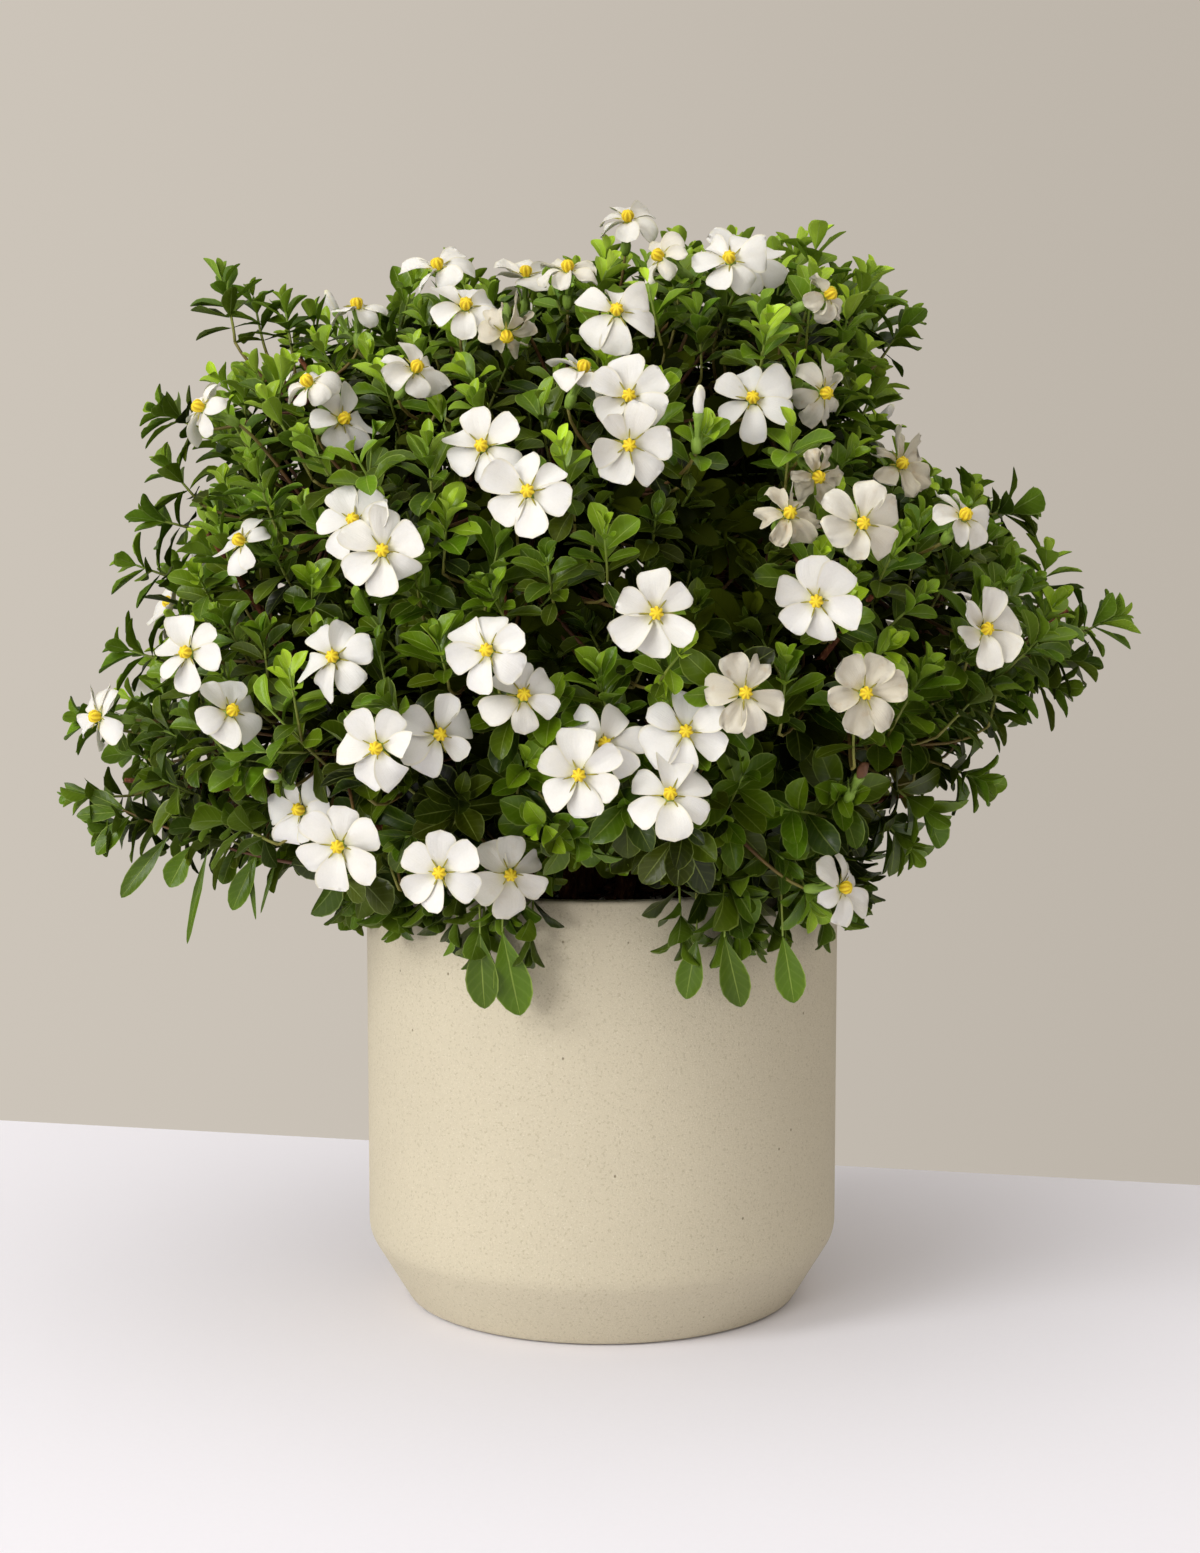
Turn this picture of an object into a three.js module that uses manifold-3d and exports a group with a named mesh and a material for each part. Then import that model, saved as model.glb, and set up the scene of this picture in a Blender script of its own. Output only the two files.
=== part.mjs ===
// Potted gardenia: a bush in flower, in a round planter with a bevelled foot.
// Millimetres, +Z up. The origin is the centre of the planter's underside, -Y is the side that
// faces the viewer and +X is to the viewer's right.
import * as THREE from "three";
import { mergeVertices } from "three/addons/utils/BufferGeometryUtils.js";
import Module from "manifold-3d";

const wasm = await Module();
wasm.setup();

// Gap that touching pieces keep
const GAP = 0.45;

// Planter
const POT_RADIUS = 150;
const POT_HEIGHT = 276;
const WALL = 10;
const BASE_THICKNESS = 12;
const FOOT_RADIUS = 124;
const BEVEL_HEIGHT = 43;
const EDGE_ROUND = 3;
const POT_SIDES = 72;
const DRAIN_RADIUS = 7;
const DRAIN_CIRCLE = 62;
const DRAIN_COUNT = 3;
const DRAIN_SIDES = 12;

// Potting mix
const SOIL_BELOW_RIM = 16;
const SOIL_DOME = 7;
const SOIL_SHOULDER = 0.6;
const SOIL_SIDES = 48;

// Stems: forked, each with two arms that end in a leafy mass
const STEM_CIRCLE = 34;
const INNER_STEM_CIRCLE = 12;
const STEM_DEPTH = 45;
const STEM_BASE_RADIUS = 7.5;
const STEM_FORK_RADIUS = 5.5;
const STEM_TIP_RADIUS = 3.5;
const STEM_SIDES = 7;
const ARM_STEPS = 7;
const ARM_SEAT = 10;
const COLLAR_ABOVE_SOIL = 5;
const COLLAR_LEAN = 0.12;
const FORK_AT = 0.42;
const FORK_LIFT = 38;
const ARM_START = 0.93;
const ARM_SAG = 6;

// Crown: the leafy masses stand round this point on the planter's axis
const CROWN_HEIGHT = 450;
const MASS_THICKNESS = 27;
const MASS_CURVE = 240;
const MASS_DETAIL = 2;
const MASS_LUMP = 0.07;
const MASS_LUMPS = 5;
const MASS_GAP = 1.2;

// Bloom: six petals, a club-shaped stigma in front and the flower's tube and calyx behind
const PETALS = 6;
const CORNERS_PER_PETAL = 3;
const BLOOM_RADIUS = 25;
const NOTCH = 0.6;
const PETAL_SHOULDER = 0.36;
const PETAL_RISE = 4;
const THROAT_DEPTH = 2.5;
const STIGMA_LENGTH = 9;
const STIGMA_WIDEST_AT = 6.75;
const STIGMA_RADIUS = 2.8;
const STIGMA_NECK_RADIUS = 2.2;
const THROAT_RADIUS = 4;
const TUBE_RADIUS = 3;
const TUBE_LENGTH = 22;
const BLOOM_LIFT = 11;
const SEAT_STEP = 0.5;

// The leafy masses. turn is the direction round the axis, from the viewer's side towards +X; rise is
// the direction above the horizontal; reach is the distance from the crown's middle; width and
// height are half the mass's size across and along.
const LEAF_MASSES = [
  { name: "leaves_low_front", turn: 13, rise: -28, reach: 262, width: 116, height: 92 },
  { name: "leaves_low_front_right", turn: 64, rise: -30, reach: 246, width: 108, height: 88 },
  { name: "leaves_low_back_right", turn: 116, rise: -28, reach: 252, width: 110, height: 88 },
  { name: "leaves_low_back", turn: 167, rise: -27, reach: 266, width: 118, height: 90 },
  { name: "leaves_low_back_left", turn: 219, rise: -26, reach: 280, width: 124, height: 90 },
  { name: "leaves_low_left", turn: 275, rise: -21, reach: 334, width: 126, height: 98 },
  { name: "leaves_low_front_left", turn: 321, rise: -27, reach: 286, width: 126, height: 92 },
  { name: "leaves_mid_right", turn: 90, rise: -2, reach: 306, width: 118, height: 86 },
  { name: "leaves_mid_back_right", turn: 141, rise: 3, reach: 278, width: 124, height: 90 },
  { name: "leaves_mid_back", turn: 193, rise: 5, reach: 264, width: 124, height: 90 },
  { name: "leaves_mid_back_left", turn: 244, rise: 8, reach: 276, width: 124, height: 92 },
  { name: "leaves_mid_left", turn: 298, rise: 9, reach: 276, width: 130, height: 94 },
  { name: "leaves_mid_front", turn: 347, rise: 4, reach: 252, width: 124, height: 92 },
  { name: "leaves_mid_front_right", turn: 39, rise: 2, reach: 254, width: 122, height: 90 },
  { name: "leaves_top_left", turn: 288, rise: 37, reach: 252, width: 122, height: 94 },
  { name: "leaves_top_front", turn: 352, rise: 42, reach: 220, width: 118, height: 88 },
  { name: "leaves_top_right", turn: 64, rise: 40, reach: 218, width: 114, height: 88 },
  { name: "leaves_top_back_right", turn: 136, rise: 41, reach: 222, width: 114, height: 88 },
  { name: "leaves_top_back_left", turn: 212, rise: 41, reach: 226, width: 122, height: 90 },
  { name: "leaves_top", turn: 20, rise: 82, reach: 198, width: 108, height: 100 },
];

// The stems and the two leafy masses that each one carries
const STEMS = [
  { name: "stem_front", turn: 18, carries: ["leaves_low_front", "leaves_mid_front_right"] },
  { name: "stem_front_right", turn: 70, carries: ["leaves_low_front_right", "leaves_mid_right"] },
  { name: "stem_right", turn: 122, carries: ["leaves_low_back_right", "leaves_mid_back_right"] },
  { name: "stem_back", turn: 174, carries: ["leaves_low_back", "leaves_mid_back"] },
  { name: "stem_back_left", turn: 226, carries: ["leaves_low_back_left", "leaves_mid_back_left"] },
  { name: "stem_left", turn: 277, carries: ["leaves_low_left", "leaves_mid_left"] },
  { name: "stem_front_left", turn: 328, carries: ["leaves_low_front_left", "leaves_mid_front"] },
  { name: "stem_tall_left", turn: 312, carries: ["leaves_top_left", "leaves_top_front"], inner: true },
  { name: "stem_tall_right", turn: 72, carries: ["leaves_top_right", "leaves_top_back_right"], inner: true },
  { name: "stem_tall_back", turn: 192, carries: ["leaves_top_back_left", "leaves_top"], inner: true },
];

// The blooms that face the viewer's side: [across, height, turn, tilt, size]. across and height are
// the place of the flower's middle, turn and tilt are where it faces, and size scales it.
const BLOOMS = [
  [-95, 642, -20, 60, 0.92],
  [15, 674, 5, 55, 0.92],
  [85, 648, 15, 35, 1.0],
  [8, 614, 0, 25, 1.0],
  [14, 542, 5, -5, 1.0],
  [84, 566, 0, 22, 1.0],
  [140, 499, 15, 5, 1.0],
  [116, 458, -8, 0, 0.98],
  [29, 452, 0, 5, 1.02],
  [-39, 516, -8, 12, 1.0],
  [-226, 562, -48, 20, 0.92],
  [-148, 555, 32, 18, 0.9],
  [-118, 484, -5, 12, 1.0],
  [-234, 424, -28, 12, 0.96],
  [-148, 424, -10, 18, 1.0],
  [-60, 432, -18, 10, 1.0],
  [-120, 380, -18, -4, 1.0],
  [-143, 324, -14, 0, 1.04],
  [-88, 310, -6, 6, 1.0],
  [-12, 365, -6, 4, 1.02],
  [36, 352, 6, 34, 1.04],
  [76, 408, 10, 10, 1.0],
  [143, 406, 14, 6, 0.98],
  [215, 438, 24, 8, 1.0],
  [134, 291, 62, 4, 0.92],
  [201, 500, 30, 38, 0.8],
  [-292, 384, -50, 8, 0.86],
  [124, 572, 34, -10, 0.9],
];

const potMaterial = new THREE.MeshStandardMaterial({ color: 0xd6c8ab, roughness: 0.85, metalness: 0 });
const soilMaterial = new THREE.MeshStandardMaterial({ color: 0x2e1d14, roughness: 1, metalness: 0 });
const stemMaterial = new THREE.MeshStandardMaterial({ color: 0x6b3a22, roughness: 0.8, metalness: 0 });
const leafMaterial = new THREE.MeshStandardMaterial({ color: 0x355c1c, roughness: 0.45, metalness: 0 });
const petalMaterial = new THREE.MeshStandardMaterial({ color: 0xf6f4ea, roughness: 0.6, metalness: 0 });

const gardenia = new THREE.Group();

// ---- helpers ----------------------------------------------------------------------------------

function direction(turnDegrees, riseDegrees) {
  const turn = THREE.MathUtils.degToRad(turnDegrees);
  const rise = THREE.MathUtils.degToRad(riseDegrees);
  return new THREE.Vector3(
    Math.sin(turn) * Math.cos(rise),
    -Math.cos(turn) * Math.cos(rise),
    Math.sin(rise),
  );
}

function toSolid(geometry) {
  const bare = geometry.clone();
  bare.deleteAttribute("normal");
  bare.deleteAttribute("uv");
  const merged = mergeVertices(bare, 1e-4);
  return new wasm.Manifold(new wasm.Mesh({
    numProp: 3,
    vertProperties: new Float32Array(merged.attributes.position.array),
    triVerts: new Uint32Array(merged.index.array),
  }));
}

function toGeometry(solid) {
  const mesh = solid.getMesh();
  const positions = new Float32Array(mesh.numVert * 3);
  for (let i = 0; i < mesh.numVert; i += 1) {
    for (let k = 0; k < 3; k += 1) {
      positions[3 * i + k] = mesh.vertProperties[mesh.numProp * i + k];
    }
  }
  const geometry = new THREE.BufferGeometry();
  geometry.setAttribute("position", new THREE.BufferAttribute(positions, 3));
  geometry.setIndex(new THREE.BufferAttribute(new Uint32Array(mesh.triVerts), 1));
  geometry.computeVertexNormals();
  return geometry;
}

function largestPiece(solid) {
  const pieces = solid.decompose();
  return pieces.reduce((best, piece) => (piece.volume() > best.volume() ? piece : best));
}

function addMesh(name, geometry, material) {
  const mesh = new THREE.Mesh(geometry, material);
  mesh.name = name;
  gardenia.add(mesh);
  return mesh;
}

// A lathe stands along +Y in three's convention; this stands it along +Z
function lathe(profile, sides) {
  const points = profile.map(([radius, height]) => new THREE.Vector2(radius, height));
  return new THREE.LatheGeometry(points, sides).rotateX(Math.PI / 2);
}

// ---- planter and potting mix ------------------------------------------------------------------

function planter() {
  const inner = POT_RADIUS - WALL;
  const innerFoot = FOOT_RADIUS - WALL;
  const profile = [
    [0, 0],
    [FOOT_RADIUS - EDGE_ROUND, 0],
    [FOOT_RADIUS, EDGE_ROUND],
    [POT_RADIUS, BEVEL_HEIGHT],
    [POT_RADIUS, POT_HEIGHT - EDGE_ROUND],
    [POT_RADIUS - EDGE_ROUND, POT_HEIGHT],
    [inner + EDGE_ROUND, POT_HEIGHT],
    [inner, POT_HEIGHT - EDGE_ROUND],
    [inner, BEVEL_HEIGHT + WALL / 2],
    [innerFoot, BASE_THICKNESS],
    [0, BASE_THICKNESS],
  ];
  let solid = toSolid(lathe(profile, POT_SIDES));
  for (let i = 0; i < DRAIN_COUNT; i += 1) {
    const place = direction((360 * i) / DRAIN_COUNT, 0).multiplyScalar(DRAIN_CIRCLE);
    const hole = new THREE.CylinderGeometry(DRAIN_RADIUS, DRAIN_RADIUS, 3 * BASE_THICKNESS, DRAIN_SIDES)
      .rotateX(Math.PI / 2)
      .translate(place.x, place.y, 0);
    solid = solid.subtract(toSolid(hole));
  }
  return solid;
}

function pottingMix() {
  const top = POT_HEIGHT - SOIL_BELOW_RIM;
  const outer = POT_RADIUS - WALL - GAP;
  const profile = [
    [0, BASE_THICKNESS + GAP],
    [FOOT_RADIUS - WALL - 2 * GAP, BASE_THICKNESS + GAP],
    [outer, BEVEL_HEIGHT + WALL / 2 + GAP],
    [outer, top - SOIL_DOME],
    [SOIL_SHOULDER * outer, top - SOIL_DOME / 4],
    [0, top],
  ];
  return toSolid(lathe(profile, SOIL_SIDES));
}

// ---- leafy masses -----------------------------------------------------------------------------

// How far a mass bends back towards the crown's middle, this far across and along it
function bendBack(x, y) {
  return (x * x + y * y) / (2 * MASS_CURVE);
}

// A flattened, slightly lumpy cushion that curves with the crown's surface
function leafMass(mass, clearance) {
  const geometry = new THREE.IcosahedronGeometry(1, MASS_DETAIL);
  const position = geometry.attributes.position;
  const point = new THREE.Vector3();
  for (let i = 0; i < position.count; i += 1) {
    point.fromBufferAttribute(position, i);
    const around = Math.atan2(point.y, point.x);
    const lump = 1 + MASS_LUMP * Math.sin(MASS_LUMPS * around + mass.turn) * Math.hypot(point.x, point.y);
    const x = point.x * lump * (mass.width + clearance);
    const y = point.y * lump * (mass.height + clearance);
    position.setXYZ(i, x, y, point.z * (MASS_THICKNESS + clearance) - bendBack(x, y));
  }
  return geometry.applyMatrix4(massMatrix(mass));
}

function massMatrix(mass) {
  const outward = direction(mass.turn, mass.rise);
  const across = direction(mass.turn + 90, 0);
  const along = new THREE.Vector3().crossVectors(outward, across);
  const matrix = new THREE.Matrix4().makeBasis(across, along, outward);
  return matrix.setPosition(massMiddle(mass));
}

function massMiddle(mass) {
  const middle = direction(mass.turn, mass.rise).multiplyScalar(mass.reach);
  middle.z += CROWN_HEIGHT;
  return middle;
}

// True where a point lies inside one of the masses
function insideCrown(point) {
  return LEAF_MASSES.some((mass) => {
    const { x, y, z } = point.clone().applyMatrix4(massMatrix(mass).invert());
    const level = z + bendBack(x, y);
    return Math.hypot(x / mass.width, y / mass.height, level / MASS_THICKNESS) < 1;
  });
}

// ---- stems ------------------------------------------------------------------------------------

// A tube along the curve, thinner towards its end
function taperedTube(curve, steps, startRadius, endRadius) {
  const corners = Array.from({ length: STEM_SIDES }, (_, i) => {
    const angle = (2 * Math.PI * i) / STEM_SIDES;
    return new THREE.Vector2(Math.cos(angle), Math.sin(angle));
  });
  const geometry = new THREE.ExtrudeGeometry(new THREE.Shape(corners), {
    steps,
    bevelEnabled: false,
    extrudePath: curve,
  });
  const stations = curve.getSpacedPoints(steps);
  const position = geometry.attributes.position;
  const point = new THREE.Vector3();
  for (let i = 0; i < position.count; i += 1) {
    point.fromBufferAttribute(position, i);
    const distances = stations.map((station) => station.distanceTo(point));
    const nearest = distances.indexOf(Math.min(...distances));
    const radius = THREE.MathUtils.lerp(startRadius, endRadius, nearest / steps);
    point.sub(stations[nearest]).multiplyScalar(radius).add(stations[nearest]);
    position.setXYZ(i, point.x, point.y, point.z);
  }
  return geometry;
}

// The stem rises from the potting mix, forks, and its arms end inside their leafy masses
function stem(plan, clearance) {
  const circle = plan.inner ? INNER_STEM_CIRCLE : STEM_CIRCLE;
  const soilTop = POT_HEIGHT - SOIL_BELOW_RIM;
  const foot = direction(plan.turn, 0).multiplyScalar(circle).setZ(soilTop - STEM_DEPTH - clearance);
  const ends = plan.carries.map((name) => {
    const mass = LEAF_MASSES.find((candidate) => candidate.name === name);
    const outward = direction(mass.turn, mass.rise);
    return massMiddle(mass).addScaledVector(outward, clearance - ARM_SEAT);
  });
  const between = ends[0].clone().add(ends[1]).multiplyScalar(0.5);
  const fork = new THREE.Vector3().lerpVectors(foot, between, FORK_AT);
  fork.z += FORK_LIFT;
  const collar = foot.clone().setZ(soilTop + COLLAR_ABOVE_SOIL).lerp(fork, COLLAR_LEAN);
  const trunk = new THREE.CatmullRomCurve3([foot, collar, fork]);
  let solid = toSolid(
    taperedTube(trunk, ARM_STEPS, STEM_BASE_RADIUS + clearance, STEM_FORK_RADIUS + clearance),
  );
  for (const end of ends) {
    const start = new THREE.Vector3().lerpVectors(collar, fork, ARM_START);
    const bend = new THREE.Vector3().lerpVectors(fork, end, 0.5);
    bend.z -= ARM_SAG;
    const arm = new THREE.CatmullRomCurve3([start, fork, bend, end]);
    solid = solid.add(
      toSolid(taperedTube(arm, ARM_STEPS, STEM_FORK_RADIUS + clearance, STEM_TIP_RADIUS + clearance)),
    );
  }
  return solid;
}

// ---- blooms -----------------------------------------------------------------------------------

// One closed solid in the bloom's own frame: it faces +Z, its middle is at the origin
function bloomGeometry(size) {
  const segments = CORNERS_PER_PETAL * PETALS;
  const edgeRadius = BLOOM_RADIUS * size;
  const rings = [
    { radius: STIGMA_RADIUS, height: STIGMA_WIDEST_AT },
    { radius: STIGMA_NECK_RADIUS, height: THROAT_DEPTH / 2 },
    { petals: true, height: PETAL_RISE },
    { radius: THROAT_RADIUS, height: -THROAT_DEPTH },
    { radius: TUBE_RADIUS, height: 1 - TUBE_LENGTH },
  ];
  const vertices = [0, 0, STIGMA_LENGTH];
  for (const ring of rings) {
    for (let i = 0; i < segments; i += 1) {
      const corner = i % CORNERS_PER_PETAL;
      const petal = Math.floor(i / CORNERS_PER_PETAL);
      const place = [0, 0.5 - PETAL_SHOULDER / 2, 0.5 + PETAL_SHOULDER / 2][corner];
      const angle = ((petal + place) / PETALS) * 2 * Math.PI;
      const petalRadius = corner === 0 ? edgeRadius * NOTCH : edgeRadius;
      const radius = ring.petals ? petalRadius : ring.radius;
      vertices.push(radius * Math.cos(angle), radius * Math.sin(angle), ring.height);
    }
  }
  vertices.push(0, 0, -TUBE_LENGTH);
  const last = vertices.length / 3 - 1;
  const faces = [];
  for (let i = 0; i < segments; i += 1) {
    const next = (i + 1) % segments;
    faces.push(0, 1 + i, 1 + next);
    for (let r = 0; r + 1 < rings.length; r += 1) {
      const upper = 1 + r * segments;
      const lower = upper + segments;
      faces.push(upper + i, lower + i, lower + next);
      faces.push(upper + i, lower + next, upper + next);
    }
    const bottom = 1 + (rings.length - 1) * segments;
    faces.push(bottom + next, bottom + i, last);
  }
  const geometry = new THREE.BufferGeometry();
  geometry.setAttribute("position", new THREE.Float32BufferAttribute(vertices, 3));
  geometry.setIndex(faces);
  return geometry;
}

// The space that a bloom and its tube need: petals swept round into a shallow dish
function bloomSpace(size) {
  const edgeRadius = BLOOM_RADIUS * size + 4 * GAP;
  const front = STIGMA_LENGTH + BLOOM_LIFT;
  const profile = [
    [0, -TUBE_LENGTH - GAP],
    [TUBE_RADIUS + GAP, -TUBE_LENGTH - GAP],
    [THROAT_RADIUS + GAP, -THROAT_DEPTH - GAP],
    [edgeRadius, PETAL_RISE - 2 * GAP],
    [edgeRadius, front],
    [0, front],
  ];
  return lathe(profile, 2 * PETALS);
}

// The bloom is seated where the leafy crown begins, seen from the front along its own place
function bloomMatrix([across, height, turn, tilt]) {
  const facing = direction(turn, tilt);
  const middle = new THREE.Vector3(across, -2.5 * POT_RADIUS, height);
  while (!insideCrown(middle.clone().addScaledVector(facing, -BLOOM_LIFT)) && middle.y < 0) {
    middle.y += SEAT_STEP;
  }
  const side = direction(turn + 90, 0);
  const up = new THREE.Vector3().crossVectors(facing, side);
  return new THREE.Matrix4().makeBasis(side, up, facing).setPosition(middle);
}

// ---- assembly ---------------------------------------------------------------------------------

const stemSpace = STEMS.map((plan) => stem(plan, GAP)).reduce((all, one) => all.add(one));

addMesh("planter", toGeometry(planter()), potMaterial);
addMesh("potting_mix", toGeometry(largestPiece(pottingMix().subtract(stemSpace))), soilMaterial);

for (const plan of STEMS) {
  addMesh(plan.name, toGeometry(stem(plan, 0)), stemMaterial);
}

const placedBlooms = BLOOMS.map((bloom) => ({ size: bloom[4], matrix: bloomMatrix(bloom) }));
const bloomSpaces = placedBlooms
  .map(({ size, matrix }) => toSolid(bloomSpace(size).applyMatrix4(matrix)))
  .reduce((all, one) => all.add(one));

let earlierMasses = null;
for (const mass of LEAF_MASSES) {
  let solid = toSolid(leafMass(mass, 0)).subtract(stemSpace).subtract(bloomSpaces);
  if (earlierMasses) {
    solid = solid.subtract(earlierMasses);
  }
  addMesh(mass.name, toGeometry(largestPiece(solid)), leafMaterial);
  const kept = toSolid(leafMass(mass, MASS_GAP));
  earlierMasses = earlierMasses ? earlierMasses.add(kept) : kept;
}

placedBlooms.forEach(({ size, matrix }, i) => {
  const name = `bloom_${String(i + 1).padStart(2, "0")}`;
  addMesh(name, toGeometry(toSolid(bloomGeometry(size).applyMatrix4(matrix))), petalMaterial);
});

export default gardenia;
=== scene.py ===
import math

import bmesh
import bpy
import numpy as np
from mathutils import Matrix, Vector


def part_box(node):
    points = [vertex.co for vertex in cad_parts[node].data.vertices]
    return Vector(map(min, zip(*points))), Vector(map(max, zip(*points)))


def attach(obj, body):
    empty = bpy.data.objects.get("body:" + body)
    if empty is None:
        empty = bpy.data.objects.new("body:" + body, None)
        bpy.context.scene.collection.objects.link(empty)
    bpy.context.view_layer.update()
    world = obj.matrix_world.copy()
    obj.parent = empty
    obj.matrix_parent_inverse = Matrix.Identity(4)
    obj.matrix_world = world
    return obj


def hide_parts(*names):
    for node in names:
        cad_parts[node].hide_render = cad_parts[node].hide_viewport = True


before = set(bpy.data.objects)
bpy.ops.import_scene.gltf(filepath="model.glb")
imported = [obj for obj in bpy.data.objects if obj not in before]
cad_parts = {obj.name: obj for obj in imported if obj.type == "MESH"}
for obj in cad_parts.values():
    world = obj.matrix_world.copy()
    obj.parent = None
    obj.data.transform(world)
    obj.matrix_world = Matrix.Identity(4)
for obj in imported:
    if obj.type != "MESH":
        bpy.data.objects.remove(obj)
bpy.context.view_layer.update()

# Sizes and places are in millimetres, and become metres when a piece is made. Angles are in degrees.
MM = 0.001

# ---- planter and potting mix ----------------------------------------------------------------
POT_RADIUS = 150.0
POT_HEIGHT = 276.0
POT_WALL = 10.0
POT_BASE = 12.0
FOOT_RADIUS = 124.0
BEVEL_HEIGHT = 43.0
POT_SIDES = 168
EDGE_LOOP_SPACING = 24.0
DRAIN_HOLE_RADIUS = 7.0
DRAIN_HOLE_CIRCLE = 62.0
DRAIN_HOLE_TURNS = (0, 120, 240)
DRAIN_HOLE_SIDES = 40
# Edges of the pot that are bent by more than this stay sharp
POT_SHARP_ANGLE = 38
SOIL_TOP = 260.0
SOIL_DOME = 7.0
SOIL_GAP = 0.4
SOIL_RADIUS = POT_RADIUS - POT_WALL - SOIL_GAP
SOIL_SIDES = 150
SOIL_RINGS = 56
# Crumbs in the top of the mix: height, spacing and seed
SOIL_CRUMBS = ((1.5, 26.0, 3), (0.9, 9.0, 4), (0.5, 4.0, 5))
# How many chips or grains there are, and the spans of their length, breadth and depth
BARK_CHIPS = (760, (5, 15), (3, 8), (1.2, 3.2))
PERLITE_GRAINS = (150, (2, 4), (2, 3.5), (1.6, 3))
MIX_SEED = 11

# ---- stems and twigs ------------------------------------------------------------------------
STEM_SIDES = 7
STEM_VOXEL = 1.5
ARM_THINNING = 1.5
ARM_START = POT_HEIGHT + 40
TWIG_RINGS = 9
TWIG_SIDES = 6
WOOD_REACH = 150.0
WOOD_SHARE = 0.6
FORK_SPACING = 62.0
FORK_SHARE = 0.45
RIM_CLEARANCE = 10.0
# First and last radius, and how woody they are, of branches, side twigs, shoots and hanging twigs
BRANCH = (1.8, 1.3, (1.0, 0.9))
SIDE_TWIG = (1.25, 0.9, (0.9, 0.45))
SHOOT_TWIG = (0.95, 0.6, (0.45, 0.0))
LEAF_STALK = (0.8, 0.6, (0.4, 0.1))
LONG_TWIG = (1.4, 0.6, (0.85, 0.6))

# ---- crown ----------------------------------------------------------------------------------
CROWN_MIDDLE = np.array((0.0, 0.0, 450.0))
CROWN_DEPTH = 283.0
CROWN_SEED = 17
# The outline lies in a plane across the crown, this far behind (+) or before (-) its middle
OUTLINE_DEPTH = -30.0
# The crown's outline from the front: degrees up from the right-hand side, and reach from its middle
CROWN_OUTLINE = (
    (2, 292), (8, 264), (13, 262), (22, 218), (31, 212), (36, 226), (43, 250), (52, 262), (64, 252),
    (75, 234), (86, 228), (97, 216), (103, 208), (112, 224), (116, 236), (127, 230), (137, 256),
    (147, 284), (153, 286), (159, 290), (163, 268), (168, 270), (173, 260), (178, 282), (183, 278),
    (188, 298), (194, 320), (200, 330), (205, 330), (209, 308), (214, 268), (221, 236), (231, 240),
    (246, 228), (270, 222), (290, 226), (306, 230), (316, 226), (327, 232), (334, 236), (340, 246),
    (347, 272), (352, 292), (357, 312),
)
# Dark gaps between the leafy clumps on the viewer's side: place across, height and radius
HOLLOWS = (
    (66, 500, 40), (92, 460, 34), (-28, 440, 30), (112, 378, 38), (30, 604, 26), (-60, 330, 26),
    (-150, 520, 22), (176, 352, 34), (-170, 370, 24), (-4, 556, 22), (170, 560, 26), (-205, 470, 22),
)
HOLLOW_DEPTH = 46.0

# ---- shoots and leaves ----------------------------------------------------------------------
LEAF_LENGTH = 29.5
LEAF_SLENDERNESS = 0.53
LEAF_THICKNESS = 0.35
LEAF_STATIONS = (0.0, 0.1, 0.25, 0.42, 0.58, 0.73, 0.87, 0.96, 1.0)
LEAF_COLUMNS = (-1.0, -0.55, 0.0, 0.55, 1.0)
COARSE_STATIONS = (0.0, 0.14, 0.4, 0.66, 0.88, 1.0)
COARSE_COLUMNS = (-1.0, 0.0, 1.0)
# Leaf sizes and spread along a shoot, from its oldest pair to its tip
SHOOT_LEAF_SIZES = (0.95, 1.04, 1.06, 1.0, 0.84, 0.56)
SHOOT_LEAF_ANGLES = (76.0, 66.0, 54.0, 42.0, 29.0, 16.0)
BARE_SHARE = 0.22
THREES_SHARE = 0.22
SHOOT_SPACING = 29.5
# How many random places are tried for outer and for inner shoots, before they are thinned out
OUTER_TRIES, INNER_TRIES = 9000, 5000
# The lowest tip of an outer shoot, and the radius and height over the pot that the outer and the
# inner shoots keep clear
CROWN_FOOT = 222.0
OUTER_CLEARING = (178.0, 300.0)
INNER_CLEARING = (172.0, 302.0)
# The shoots inside the crown, whose leaves are painted near black as shade: share of its reach, spacing and
# leaf size
INNER_SHOOTS = ((0.76, 39.0, 0.98), (0.5, 52.0, 1.15))
# Low shoots over the rim: degrees between them, and the bare turns in front where the rim shows
SKIRT_STEP = 5.0
SKIRT_SHARE = 0.94
SKIRT_GAP = (-9.0, 11.0)
SKIRT_FOOT_RADIUS = 157.0
# Where the leaves part above the front of the rim: middle and radius
RIM_GAP = (((-5, -152, 283), 12.0), ((-3, -156, 264), 14.0), ((0, -158, 247), 17.0))
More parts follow.
